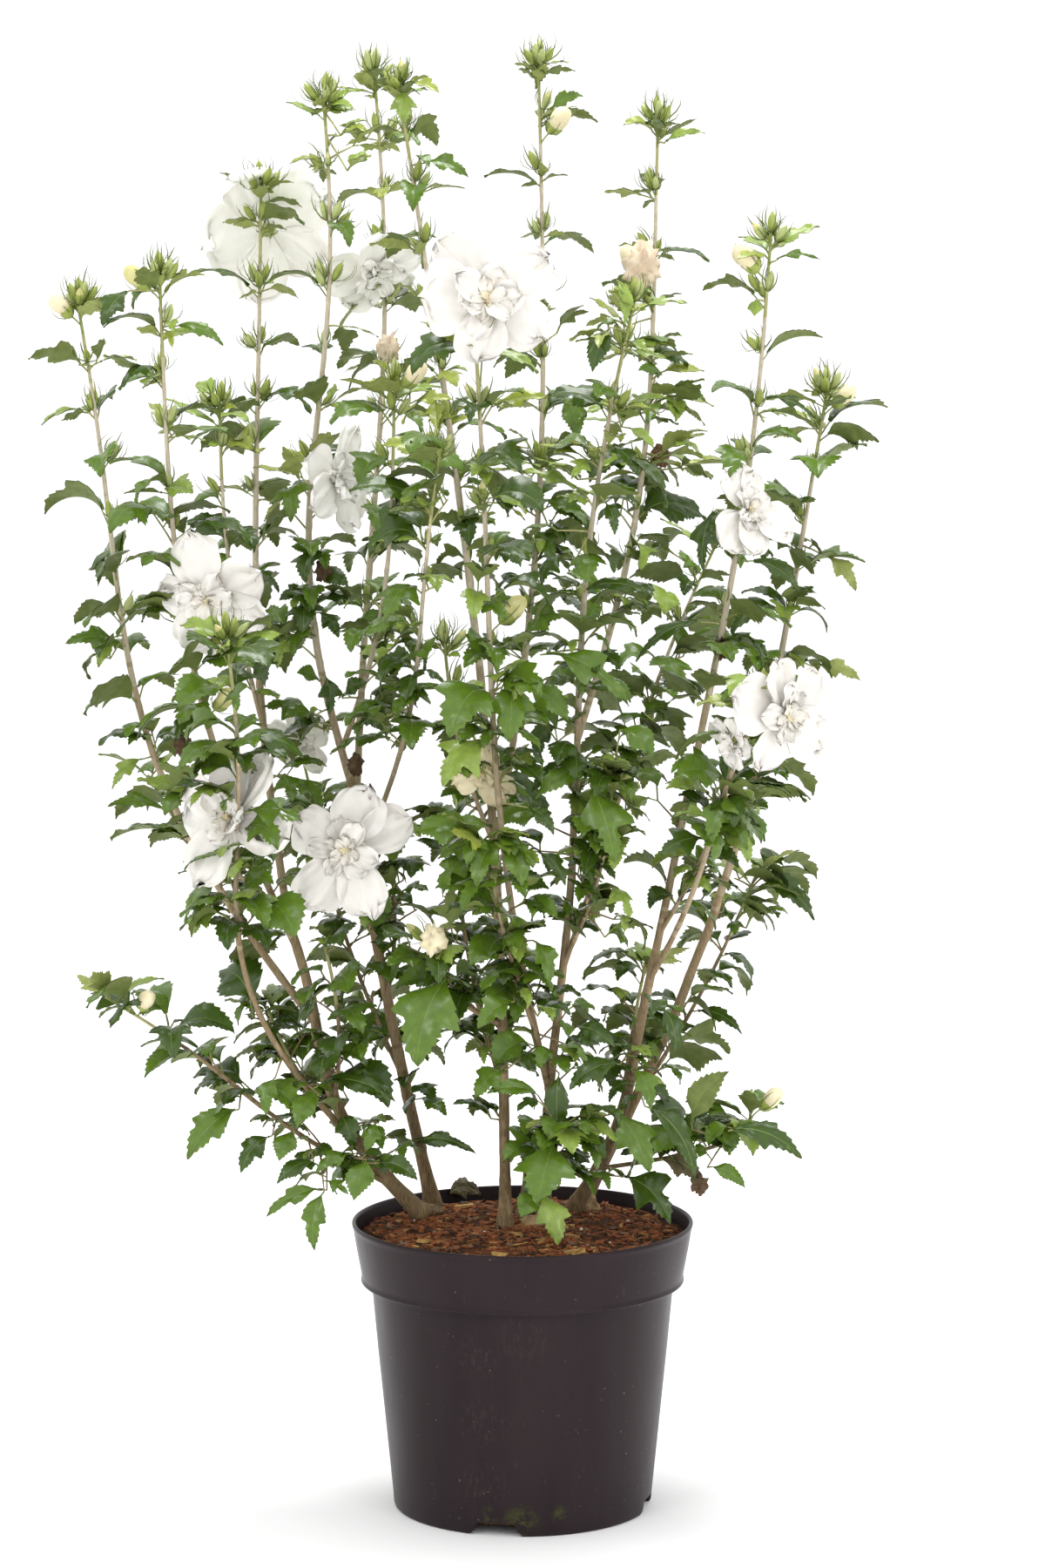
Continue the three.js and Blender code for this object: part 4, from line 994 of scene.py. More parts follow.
DEEP_CHANCE = 0.22
OVATE_CHANCE = 0.36  # of the rest
COLUMNS = np.array([-1, -0.68, -0.36, -0.05, 0.05, 0.36, 0.68, 1])
FEW_COLUMNS = np.array([-1, -0.55, -0.05, 0.05, 0.55, 1])
UNDER_COLUMNS = np.array([-1, 0, 1])
RIB_COLUMNS = 0.1  # columns nearer to the middle than this follow the midrib
SMALL_LEAF = 54  # shorter leaves have the fewer columns
# The midrib: half its width as a share of the leaf's length, how it narrows along the blade, and the most it
# takes of the blade's half width.
RIB = {"half": 0.0065, "foot": 1.1, "widest": 0.6}
# The relief of a blade: waves of its edge, pleats between its side veins and the puff beside its midrib, as
# counts along it and heights as shares of its length.
WAVE = {"count": 2.3, "lag": 0.3}
PLEAT = {"count": 4, "slant": 1.6, "height": 0.042}
PUFF_HEIGHT = 0.016
LEAF_HALF_WIDTH = 0.3
LEAF_THICKNESS = 0.5
PETIOLE_RADIUS = 0.85
PETIOLE_ROWS = 4
PETIOLE_SIDES = 4
PETIOLE_END = 1.04  # as a share of its length: a little way into the blade
# The tilt of a leaf against its heading, at its foot and at its tip (degrees, least and most).
GROWN_BEND = ((12, 52), (-30, -104))
YOUNG_BEND = ((0, 24), (-8, -52))
BEND_EASE = 0.75
BEND_STEPS = 24
BEND_END = 1.1
ROLL_START = 2.5  # the roll is whole from one part in this many of the leaf
OUTWARD_ROLL = 24  # degrees
CROWN_MIDDLE = np.array([-40, 0, 0])
# Ranges of the other traits: shares of the leaf's length or of its own width, and degrees for the roll.
TRAITS = {
    "petiole": (0.14, 0.26),
    "roll": (-30, 30),
    "fold": (0.02, 0.55),
    "ripple": (0.006, 0.034),
    "width": (0.84, 1.2),
    "curl": (0.1, 0.9),
    "swerve": (-0.16, 0.16),
}
YOUNG_PETIOLE = 0.8
YOUNG_BREADTH = 0.72

# The light tint is partly the leaves' own paler green and partly painted sheen: it is lightened to stand in
# for the gloss on the upper faces. The dark tint is dealt out most low down, where the crown is darker.
GROWN_TINTS = (
    (560, {"leaf_dark": 0.52, "leaf_mid": 0.38, "leaf_light": 0.1}),
    (900, {"leaf_dark": 0.29, "leaf_mid": 0.37, "leaf_light": 0.34}),
    (1080, {"leaf_dark": 0.36, "leaf_mid": 0.36, "leaf_light": 0.28}),
    (2000, {"leaf_dark": 0.26, "leaf_mid": 0.38, "leaf_light": 0.36}),
)
YOUNG_TINTS = {"leaf_light": 0.5, "leaf_young": 0.5}
LIGHT_LENGTH = 70  # longer leaves than this are never light
FADED_CHANCE = 0.006
FADED_LENGTH = 56  # longer leaves than this are all green
LEAF_BREADTH = ((1000, 1), (1150, 0.8), (1400, 0.7))
LEAF_REACH = ((300, 1), (520, 0.94), (800, 0.84), (1020, 0.86), (1150, 0.82), (1400, 0.84))


def pick(chances, share):
    for name, chance in chances.items():
        share -= chance
        if share < 0:
            return name
    return name


def tint_of(leaf, draw):
    """One plain colour for each leaf: darker low down, yellower and younger at the tips."""
    if "tint" in leaf:
        return leaf["tint"]
    if draw() < FADED_CHANCE and leaf["length"] < FADED_LENGTH:
        return "leaf_faded"
    if leaf["age"] == "young":
        return pick(YOUNG_TINTS, draw())
    tints = next(tints for below, tints in GROWN_TINTS if leaf["root"][2] < below)
    tint = pick(tints, draw())
    return "leaf_mid" if tint == "leaf_light" and leaf["length"] > LIGHT_LENGTH else tint


def traits_of(leaf, draw):
    """How a leaf bends, folds and rolls."""
    is_young = leaf["age"] == "young"
    rise, droop = YOUNG_BEND if is_young else GROWN_BEND
    breadth = YOUNG_BREADTH if is_young else profile_at(LEAF_BREADTH, leaf["root"][2])
    traits = {
        "outline": 2 if draw() < DEEP_CHANCE else int(draw() < OVATE_CHANCE),
        "petiole": lerp(TRAITS["petiole"], draw()) * (YOUNG_PETIOLE if is_young else 1),
        "rise": math.radians(lerp(rise, draw())),
        "droop": math.radians(lerp(droop, draw())),
        "roll": math.radians(lerp(TRAITS["roll"], draw()) - OUTWARD_ROLL * outward_share(leaf)),
        "fold": lerp(TRAITS["fold"], draw()),
        "ripple": lerp(TRAITS["ripple"], draw()),
        "phase": draw(),
        "width": lerp(TRAITS["width"], draw()) * breadth,
        "curl": lerp(TRAITS["curl"], draw()),
        "swerve": lerp(TRAITS["swerve"], draw()),
    }
    if "bend" in leaf:
        traits["rise"], traits["droop"] = (math.radians(angle) for angle in leaf["bend"])
        traits["width"] = leaf["width"] / 2 / (LEAF_HALF_WIDTH * leaf["length"])
        traits["outline"] = leaf["outline"]
        traits["roll"] = STANDING_OUT_FORM["roll"] * roll_to_the_front(leaf)
        traits["fold"] *= STANDING_OUT_FORM["fold"]
        traits["ripple"] = STANDING_OUT_FORM["ripple"]
        traits["petiole"] = STANDING_OUT_FORM["petiole"]
    return traits


def leaf_traits(leaves, draw):
    """The traits as arrays with one value for each leaf."""
    found = [traits_of(leaf, draw) for leaf in leaves]
    return {name: np.array([traits[name] for traits in found]) for name in found[0]}


def outward_share(leaf):
    """How far a leaf's side faces out of the crown: such a leaf rolls its upper face outward."""
    out = (leaf["root"] - CROWN_MIDDLE) * (1, 1, 0)
    return float(unit(out) @ np.cross(heading(leaf["turn"], 0), UP))


def roll_to_the_front(leaf):
    """The roll that turns a leaf's upper face to the front."""
    along = heading(leaf["turn"], leaf["lift"])
    across = unit(np.cross(along, UP))
    over = np.cross(across, along)
    return math.atan2(-(TO_THE_FRONT @ across), TO_THE_FRONT @ over)


class LeafShape:
    """Places points on many leaves at once, by the share of the way along each leaf's middle line."""

    def __init__(self, leaves, traits):
        self.root = np.array([leaf["root"] for leaf in leaves])
        reaches = [profile_at(LEAF_REACH, leaf["root"][2]) for leaf in leaves]
        self.length = np.array([leaf["length"] * reach for leaf, reach in zip(leaves, reaches)])
        self.along = np.array([heading(leaf["turn"], leaf["lift"]) for leaf in leaves])
        across = np.cross(self.along, UP)
        self.across = across / np.linalg.norm(across, axis=1, keepdims=True)
        self.over = np.cross(self.across, self.along)
        self.traits = traits
        self.lay_out_middle_lines()

    def lay_out_middle_lines(self):
        """The petiole rises straight; the blade bends down from its base, fast at first."""
        share = np.linspace(0, BEND_END, BEND_STEPS)[None]
        petiole, rise, droop = (self.traits[name][:, None] for name in ("petiole", "rise", "droop"))
        blade = np.clip((share - petiole) / (1 - petiole), 0, None)
        self.angle = rise + (droop - rise) * blade**BEND_EASE
        step = self.length[:, None] * BEND_END / (BEND_STEPS - 1)
        middle = (self.angle[:, 1:] + self.angle[:, :-1]) / 2
        start = np.zeros((len(self.length), 1))
        self.forward = np.concatenate([start, np.cumsum(np.cos(middle), axis=1) * step], axis=1)
        self.height = np.concatenate([start, np.cumsum(np.sin(middle), axis=1) * step], axis=1)

    def read(self, values, share):
        """Values kept at even steps along each leaf, read at any share of it."""
        place = np.clip(share / BEND_END, 0, 1) * (BEND_STEPS - 1)
        before = np.minimum(place.astype(int), BEND_STEPS - 2)
        low = np.take_along_axis(values, before, axis=1)
        high = np.take_along_axis(values, before + 1, axis=1)
        return low + (high - low) * (place - before)

    def place(self, *values):
        """values: the share of the leaf, lateral (mm) and raised (mm), for each leaf and its points."""
        count = len(self.length)
        share, lateral, raised = (value.reshape(count, -1) for value in np.broadcast_arrays(*values))
        angle = self.read(self.angle, share)
        roll = self.traits["roll"][:, None] * np.clip(share * ROLL_START, 0, 1)
        sideways = lateral * np.cos(roll) - raised * np.sin(roll)
        sideways = sideways + self.traits["swerve"][:, None] * self.length[:, None] * share**2
        outward = lateral * np.sin(roll) + raised * np.cos(roll)
        forward = self.read(self.forward, share) - outward * np.sin(angle)
        height = self.read(self.height, share) + outward * np.cos(angle)
        return (
            self.root[:, None]
            + forward[..., None] * self.along[:, None]
            + height[..., None] * self.over[:, None]
            + sideways[..., None] * self.across[:, None]
        )


def blade_grid(shape, columns):
    """A blade's points over its stations and columns: share of the leaf, lateral and raised (mm)."""
    traits = {name: values[:, None, None] for name, values in shape.traits.items()}
    stations = OUTLINES[shape.traits["outline"]]
    along, at_edge, half_share = (stations[:, :, i][:, :, None] for i in range(3))
    length = shape.length[:, None, None]
    half = half_share * (length * LEAF_HALF_WIDTH * traits["width"])
    spread = np.abs(columns)
    rib = np.minimum(RIB["half"] * length * (RIB["foot"] - along), half * RIB["widest"])
    lateral = np.where(spread < RIB_COLUMNS, np.sign(columns) * rib, half * columns)
    fold = traits["fold"] * np.abs(lateral)
    curl = traits["curl"] * lateral**2 / (0.5 * length)
    wave = WAVE["count"] * along + traits["phase"] + WAVE["lag"] * np.sign(columns)
    ripple = traits["ripple"] * length * spread**2 * np.sin(2 * math.pi * wave)
    bends = np.cos(2 * math.pi * (PLEAT["count"] * along - PLEAT["slant"] * spread))
    pleat = PLEAT["height"] * length * (bends * spread * (1 - spread))
    puff = PUFF_HEIGHT * length * np.sin(math.pi * spread) * (1 - along)
    swept = along + (at_edge - along) * spread
    share = traits["petiole"] + (1 - traits["petiole"]) * swept
    return share, lateral, fold - curl + ripple + pleat + puff


def add_blades(heap, shape, tints, columns=COLUMNS):
    """The upper face of each leaf, with its vein, and a plainer face under it."""
    top = shape.place(*blade_grid(shape, columns))
    share, lateral, raised = blade_grid(shape, UNDER_COLUMNS)
    under = shape.place(share, lateral, raised - LEAF_THICKNESS)
    rows = OUTLINES.shape[1]
    top_faces = grid_faces(rows, len(columns))
    under_faces = grid_faces(rows, len(UNDER_COLUMNS))[:, ::-1]
    strips = len(columns) - 1
    is_vein = np.arange(len(top_faces)) % strips == strips // 2
    for tint, top_points, under_points in zip(tints, top, under):
        heap.add(top_points, top_faces, np.where(is_vein, heap.slot("leaf_vein"), heap.slot(tint)))
        under_tint = "leaf_under_young" if tint in ("leaf_young", "leaf_faded") else "leaf_under"
        heap.add(under_points, under_faces, heap.slot(under_tint))


def add_petioles(heap, shape):
    share = np.linspace(0, PETIOLE_END, PETIOLE_ROWS)[:, None] * shape.traits["petiole"][:, None, None]
    turns = turns_round(PETIOLE_SIDES) + math.pi / PETIOLE_SIDES
    points = shape.place(share, PETIOLE_RADIUS * np.cos(turns), PETIOLE_RADIUS * np.sin(turns))
    faces = grid_faces(PETIOLE_ROWS, len(turns), closed=True)
    for petiole in points:
        heap.add(petiole, faces, heap.slot("petiole"))


LEAF_MATERIALS = (
    "leaf_dark", "leaf_mid", "leaf_light", "leaf_young", "leaf_faded", "leaf_dried", "leaf_vein",
    "leaf_under", "leaf_under_young", "petiole",
)  # fmt: skip


def leaves_piece(name, masses, seed):
    """All leaves of some masses, joined."""
    heap = Heap(*LEAF_MATERIALS)
    draw = seeded(seed)
    leaves = [leaf for mass in masses for leaf in mass.leaves]
    small = [leaf for leaf in leaves if leaf["length"] < SMALL_LEAF]
    large = [leaf for leaf in leaves if leaf["length"] >= SMALL_LEAF]
    for leaves, columns in ((large, COLUMNS), (small, FEW_COLUMNS)):
        shape = LeafShape(leaves, leaf_traits(leaves, draw))
        add_blades(heap, shape, [tint_of(leaf, draw) for leaf in leaves], columns)
        add_petioles(heap, shape)
    piece = heap.build(name)
    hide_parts(*(mass.node for mass in masses))


# ---------------------------------------------------------------- buds

CALYX = ((0, 0.16), (0.08, 0.5), (0.25, 0.86), (0.48, 1), (0.68, 0.86), (0.84, 0.52), (0.95, 0.2), (1, 0.02))
ROLLED = ((0, 0.5), (0.2, 0.86), (0.45, 1), (0.68, 0.94), (0.85, 0.7), (0.95, 0.4), (1, 0.06))
BUD_SIDES = 10
BUD_STALK = {"share": 0.32, "radius": 0.85, "sides": 5, "bow": 0.6, "into": 1.5}
PALE_CHANCE = 0.42
OPENING_CHANCE = 0.09
OPENING_ROWS = 3
CREAM_CHANCE = 0.75
# The parts of a bud, as shares of its length without the stalk. twist: how far its ribs wind (radians).
CLOSED = {"profile": CALYX, "start": 0, "length": 1, "width": 0.41, "ribs": 0.08, "twist": 0}
ROLLED_UP = {"profile": ROLLED, "start": 0.22, "length": 0.9, "width": 0.62, "ribs": 0.1, "twist": 3.5}
CUP = {"profile": CALYX[:5], "start": 0, "length": 0.7, "width": 0.56, "ribs": 0.1, "twist": 0}
BLOOM_CUP = {"profile": CALYX[:5], "start": 0, "length": 1, "width": 0.7, "ribs": 0.12, "twist": 0}
RIBS = 5
BRACTLET = {
    "count": 6,
    "rows": 5,
    "scatter": 0.5,
    "reach": (1, 1.55),
    "spread": (0.2, 0.44),
    "bulge": 2.3,
    "rise": 0.9,
    "rise_ease": 1.3,
    "half_width": 0.85,
    "narrowing": 0.6,
    "tip": 0.16,
}

BUD_MATERIALS = (
    "bud", "bud_pale", "bractlet", "petal_cream", "petal_yellow", "petal_wilted", "bud_stalk", "withered",
    "withered_dark",
)  # fmt: skip


def revolve(heap, foot, way, length, form, slots):
    """A body of revolution with ribs along it that may wind round it."""
    turns = turns_round(BUD_SIDES)
    base = foot + way * length * form["start"]
    rings = []
    for share, reach in form["profile"]:
        ribs = 1 + form["ribs"] * np.cos(RIBS * turns + form["twist"] * share)
        radius = length * form["width"] / 2 * reach * ribs
        rings.append(base + way * share * length * form["length"] + ring_round(way, turns, radius))
    heap.add(rings, grid_faces(len(rings), BUD_SIDES, closed=True)[:, ::-1], slots)


def add_bractlets(heap, base, way, length, draw):
    """Thin leaflets that curve out and up round the foot of a bud."""
    across, over = frame_along(way)
    rows = BRACTLET["rows"]
    for i in range(BRACTLET["count"]):
        turn = 2 * math.pi * (i + BRACTLET["scatter"] * draw()) / BRACTLET["count"]
        out = across * math.cos(turn) + over * math.sin(turn)
        aside = np.cross(out, way)
        reach = length * lerp(BRACTLET["reach"], draw())
        spread = lerp(BRACTLET["spread"], draw())
        points = []
        for row in range(rows):
            share = row / (rows - 1)
            bulge = math.sin(BRACTLET["bulge"] * share) / math.sin(BRACTLET["bulge"])
            rise = BRACTLET["rise"] * share ** BRACTLET["rise_ease"]
            middle = base + out * (1 + reach * spread * bulge) + way * reach * rise
            half = aside * (BRACTLET["half_width"] * (1 - share) ** BRACTLET["narrowing"] + BRACTLET["tip"])
            points += [middle - half, middle + half]
        heap.add(points, grid_faces(rows, 2), heap.slot("bractlet"))


def add_bud_mesh(heap, bud, draw):
    root, way = bud["root"], heading(bud["turn"], bud["lift"])
    stalk = bud["length"] * BUD_STALK["share"]
    length = bud["length"] - stalk
    base = root + way * stalk
    bent = [root, root + way * stalk * 0.5 + UP * BUD_STALK["bow"], base + way * BUD_STALK["into"]]
    tube(heap, bent, [BUD_STALK["radius"]] * 3, BUD_STALK["sides"], heap.slot("bud_stalk"))
    if bud["kind"] == "cream":
        tone = "petal_cream" if draw() < CREAM_CHANCE else "petal_yellow"
        revolve(heap, base, way, length, ROLLED_UP, heap.slot(tone))
        revolve(heap, base, way, length, CUP, heap.slot("bud"))
        add_bractlets(heap, base, way, length * CUP["length"], draw)
        return
    tone = heap.slot("bud_pale" if draw() < PALE_CHANCE else "bud")
    slots = np.full((len(CALYX) - 1) * BUD_SIDES, tone)
    if draw() < OPENING_CHANCE:
        slots[-OPENING_ROWS * BUD_SIDES :] = heap.slot("petal_yellow")
    revolve(heap, base, way, length, CLOSED, slots)
    add_bractlets(heap, base, way, length, draw)


# Faded blooms, shrivelled on their stalks, and a dead leaf's end: the centre, the size and the tone.
WITHERED = (
    ((-133, 60, 1152), 24, "petal_wilted"),
    ((-195, -20, 938), 17, "withered_dark"),
    ((-330, -60, 770), 19, "withered_dark"),
    ((136, 30, 1048), 20, "withered"),
    ((196, -30, 862), 18, "withered_dark"),
    ((-163, -30, 748), 18, "withered_dark"),
    ((173, -76, 339), 17, "withered_dark"),
    ((116, -20, 1233), 36, "petal_wilted"),
    ((-86, -112, 587), 27, "petal_cream"),
)
WITHERED_SHAPE = np.array([1, 1, 1.25])
WITHERED_FORM = {"rows": 15, "offset": 40, "grain": 2.4, "fine": 0.6, "girth": 0.85, "crumple": 0.55}


# ---------------------------------------------------------------- blooms

# Rings of petals, outermost first. length, width, base and raised: shares of the bloom's radius. tilt:
# degrees out of the bloom's plane at a petal's foot and at its tip. loose: how far a petal strays from it.
PETAL_RINGS = (
    {"tone": "petal", "count": 5, "length": 1.08, "width": 0.92, "rows": 19, "columns": 19,
     "tilt": (12, -16), "base": 0.03, "raised": 0.0, "loose": 7},
    {"tone": "petal", "count": 6, "length": 0.58, "width": 0.42, "rows": 14, "columns": 11,
     "tilt": (34, 2), "base": 0.02, "raised": 0.05, "loose": 20},
    {"tone": "petal_inner", "count": 9, "length": 0.38, "width": 0.2, "rows": 9, "columns": 7,
     "tilt": (46, 4), "base": 0.01, "raised": 0.07, "loose": 24},
    {"tone": "petal_cream", "count": 6, "length": 0.15, "width": 0.09, "rows": 6, "columns": 4,
     "tilt": (56, 0), "base": 0.0, "raised": 0.08, "loose": 26},
)  # fmt: skip
# A petal's form. length and width: ranges against its ring's. cup: degrees that it is raised in a shut bloom.
# Its half width swells from the claw to the shoulder and is rounded off from there to the tip.
PETAL = {
    "length": (0.78, 1.1),
    "width": (0.8, 1.2),
    "cup": 50,
    "tilt_ease": 0.8,
    "claw": 0.14,
    "swelling": 1.15,
    "shoulder": 0.62,
    "rounding": 2.8,
    "tip": 0.004,
    "phase": 6.3,
    "offset": 50,
    "twist": 0.5,
    "dish": 0.14,
}
PETAL_THICKNESS = 0.4
PLEATS = {"least": 2, "more": 3, "height": 0.036, "slope": 2.6, "ease": 0.8}
# The noise on a petal: its height (lift as a share of the bloom's radius, edge as a share of the petal), its
# grain across and along the petal, and its step from one petal to the next.
RUFFLES = {
    "crease": (0.05, 4.5, 0.9, 7),
    "wrinkle": (0.022, 9, 1.3, 1),
    "rumple": (0.07, 1.6, 1.8, 2),
    "crinkle": (0.034, 8, 8, 4),
    "frill": (0.13, 4, 3.4, 3),
    "edge": (0.17, 4, 3, 3),
    "fringe": (0.1, 13, 6, 1),
    "flare": (0.1, 4, 3, 3),
}
# How much of a layer there is at the claw already.
AT_THE_CLAW = {"crease": 0.3, "wrinkle": 0.4}
BLOOM = {"sunk": 0.22, "scatter": 0.6, "stagger": 0.014}
# Behind a bloom, in millimetres: how far back its cup starts, the cup's length, its bractlets and the stalk.
BLOOM_BACK = {"behind": 8, "cup": 20, "bractlets": 17, "stalk": (1.5, 1.4, 1.6), "bow": 2, "sides": 6}
# How some blooms, by their place in BLOOMS, differ: the size against the room kept for them, how far they nod
# to the front (mm), and the tone of their petals. The pale tone is painted light: a brighter white for the
# blooms that stand in the crown's shade, making up for that shade.
BLOOM_FORMS = {
    0: (1.1, 0, "petal_pale"),
    1: (1.05, 0, "petal_pale"),
    3: (1.12, 20, "petal_pale"),
    4: (1.1, 8, None),
    8: (0.92, 0, None),
    9: (1.25, 40, None),
    10: (1.1, 0, "petal_pale"),
    11: (1.15, 45, "petal_cream"),
}
BLOOM_MATERIALS = ("petal", "petal_pale", "petal_inner", "petal_cream", "bud", "bractlet", "bud_stalk")


def sums_from_zero(values):
    return np.concatenate([[0], np.cumsum(values)])


def ruffle(layer, side, share, offset):
    """One layer of the noise on a petal, at a place on it."""
    height, across, along, deep = RUFFLES[layer]
    return height * noise_at(side * across + offset, share * along, deep * offset)


def petal_lift(side, share, offset, pleats, phase):
    """Pleats that start at the claw, radial wrinkles and a frilled edge, as a share of the bloom's radius."""
    spot = (side, share, offset)
    pleat = PLEATS["height"] * math.sin(pleats * side * PLEATS["slope"] + phase) * share ** PLEATS["ease"]
    crease = -abs(ruffle("crease", *spot)) * (AT_THE_CLAW["crease"] + share)
    wrinkle = ruffle("wrinkle", *spot) * (AT_THE_CLAW["wrinkle"] + share)
    rumple = ruffle("rumple", *spot) * share
    crinkle = ruffle("crinkle", *spot) * share**1.5
    frill = ruffle("frill", *spot) * max(abs(side) ** 3, share**4)
    return pleat + crease + wrinkle + rumple + crinkle + frill


def petal_grid(ring, radius, axes, centre, turn, cup, draw):
    """One ruffled petal: narrow at its claw, broad and rounded at its end, pleated outward from the heart."""
    facing, across, over = axes
    rows, columns = ring["rows"], ring["columns"]
    length = radius * ring["length"] * lerp(PETAL["length"], draw())
    width = radius * ring["width"] * lerp(PETAL["width"], draw())
    out = across * math.cos(turn) + over * math.sin(turn)
    aside = -across * math.sin(turn) + over * math.cos(turn)
    stray = ring["loose"] * (2 * draw() - 1)
    first, last = (math.radians(angle + PETAL["cup"] * cup + stray) for angle in ring["tilt"])
    share = np.linspace(0, 1, rows)
    tilt = first + (last - first) * share ** PETAL["tilt_ease"]
    forward = sums_from_zero(np.cos(tilt[:-1])) / (rows - 1) * length + ring["base"] * radius
    rise = sums_from_zero(np.sin(tilt[:-1])) / (rows - 1) * length
    shoulder, claw = PETAL["shoulder"], PETAL["claw"]
    quarter = np.clip(share / shoulder, 0, 1) * math.pi / 2
    swelling = claw + (1 - claw) * np.sin(quarter) ** PETAL["swelling"]
    beyond = np.clip((share - shoulder) / (1 - shoulder), 0, 1)
    rounding = np.sqrt(np.clip(1 - beyond ** PETAL["rounding"], PETAL["tip"], 1))
    half = width / 2 * swelling * rounding
    side = np.linspace(-1, 1, columns)
    pleats = PLEATS["least"] + int(PLEATS["more"] * draw())
    phase = draw() * PETAL["phase"]
    offset = draw() * PETAL["offset"]
    twist = PETAL["twist"] * (draw() - 0.5)
    grid = np.empty((rows, columns, 3))
    for i in range(rows):
        normal = -out * math.sin(tilt[i]) + facing * math.cos(tilt[i])
        for k in range(columns):
            spot = (side[k], share[i], offset)
            lift = petal_lift(*spot, pleats, phase) * radius
            lift += PETAL["dish"] * half[i] * side[k] ** 2 + twist * side[k] * half[i]
            edge = 1 + (ruffle("edge", *spot) + ruffle("fringe", *spot)) * share[i] ** 3
            sideways = aside * side[k] * half[i] * (1 + ruffle("flare", *spot))
            grid[i, k] = centre + (out * forward[i] * edge + sideways) + facing * rise[i] + normal * lift
    return grid


def add_petal(heap, grid, tone):
    """The front of a petal and, a little behind it, its back."""
    normal = np.cross(np.gradient(grid, axis=1), np.gradient(grid, axis=0))
    normal /= np.linalg.norm(normal, axis=2, keepdims=True) + 1e-9
    faces = grid_faces(*grid.shape[:2])
    heap.add(grid, faces, heap.slot(tone))
    heap.add(grid - PETAL_THICKNESS * normal, faces[:, ::-1], heap.slot(tone))


def add_bloom_mesh(heap, bloom, root, draw):
    _, _, centre, (turn, lift), width, is_open = bloom
    size, nod, tone = BLOOM_FORMS.get(BLOOMS.index(bloom), (1, 0, None))
    facing = heading(math.radians(turn - 90), lift)
    across = unit(np.cross(UP, facing))
    axes = (facing, across, np.cross(facing, across))
    radius = width / 2 * size
    heart = np.array(centre) - facing * radius * BLOOM["sunk"] - (0, nod, 0)
    for ring in PETAL_RINGS:
        start = draw() * 2 * math.pi
        for i in range(ring["count"]):
            turned = start + (i + BLOOM["scatter"] * (draw() - 0.5)) * 2 * math.pi / ring["count"]
            base = heart + facing * radius * (ring["raised"] + BLOOM["stagger"] * (i % 3))
            grid = petal_grid(ring, radius, axes, base, turned, 1 - is_open, draw)
            add_petal(heap, grid, tone or ring["tone"])
    calyx = heart - facing * BLOOM_BACK["behind"]
    revolve(heap, calyx, facing, BLOOM_BACK["cup"], BLOOM_CUP, heap.slot("bud"))
    add_bractlets(heap, calyx, facing, BLOOM_BACK["bractlets"], draw)
    bent = [root, (root + calyx) / 2 + UP * BLOOM_BACK["bow"], calyx + facing * BLOOM_BACK["bow"]]
    tube(heap, bent, BLOOM_BACK["stalk"], BLOOM_BACK["sides"], heap.slot("bud_stalk"))


# ---------------------------------------------------------------- bark

BARK_MATERIALS = ("bark_old", "bark_brown", "bark_tan", "bark_beige", "bark_green", "cut_wood")
SHOOT_MATERIALS = ("bark_old", "bark_brown", "bark_tan", "bark_beige", "bark_green", "shoot_green")
BARK_BY_HEIGHT = ((430, "bark_old"), (600, "bark_brown"), (820, "bark_tan"), (2000, "bark_beige"))
SLIMNESS = ((300, 0.92), (330, 0.84), (600, 0.88), (900, 1))
STEM_STEP = 4.0
SHOOT_STEP = 5.0
GREEN_END = 78  # the length of a shoot's tip that is still green
SOFT_END = 30
# Relief of the bark as shares of the radius: ridges and lumps with their grain round the limb and their
# length along it (mm), and the knobs where leaves stood.
RIDGES = {"height": 0.035, "grain": 2.6, "long": 26}
LUMPS_IN_BARK = {"height": 0.03, "grain": 0.9, "long": 13}
KNOB = {
    "first": 20, "first_turn": 6, "spacing": (26, 58), "height": 0.2, "swelling": 0.06, "long": 3.2,
    "wide": 0.5,
}  # fmt: skip
RELIEF_OFFSET = 90
TONE_SCATTER = 60  # mm by which the height of a change in the bark's tone strays
LIMB_FORM = {
    "overlap": 2, "least_rows": 6, "wander": 1.1, "wander_long": 45, "wander_row": 3, "sides": 10,
    "stem_sides": 14,
}  # fmt: skip
SHOOT_FORM = {"overlap": 3, "least_rows": 8, "sides": 8, "scatter": 12, "green_from": 440}
TWIG_FORM = {"radii": (1.15, 1.0, 0.8), "sides": 5, "bow": 0.8, "green_above": 700}


def bark_relief(points, sides, draw, knobs):
    """Ridges along the bark, lumps, and the knobs where leaves stood, as shares of the radius."""
    turns = turns_round(sides)
    places = sums_from_zero(np.linalg.norm(np.diff(points, axis=0), axis=1))
    offset = draw() * RELIEF_OFFSET
    relief = np.ones((len(points), sides))
    for row, place in enumerate(places):
        for k, turn in enumerate(turns):
            x, y = math.cos(turn), math.sin(turn)
            ridge = noise_at(x * RIDGES["grain"] + offset, y * RIDGES["grain"], place / RIDGES["long"])
            grain, long = LUMPS_IN_BARK["grain"], LUMPS_IN_BARK["long"]
            lump = noise_at(x * grain, y * grain + offset, place / long)
            relief[row, k] += RIDGES["height"] * ridge + LUMPS_IN_BARK["height"] * lump
    for place, turn in knobs:
        along = np.exp(-(((places - place) / KNOB["long"]) ** 2))
        round_gap = np.angle(np.exp(1j * (turns - turn)))
        relief += KNOB["height"] * np.outer(along, np.exp(-((round_gap / KNOB["wide"]) ** 2)))
        relief += KNOB["swelling"] * along[:, None]
    return relief


def scars_along(length, draw):
    knobs = []
    place = draw() * KNOB["first"]
    turn = draw() * KNOB["first_turn"]
    while place < length:
        knobs.append((place, turn))
        place += lerp(KNOB["spacing"], draw())
        turn += GOLDEN_TURN
    return knobs


def bark_tone(height, draw):
    height += TONE_SCATTER * (draw() - 0.5)
    return next(tone for below, tone in BARK_BY_HEIGHT if height < below)


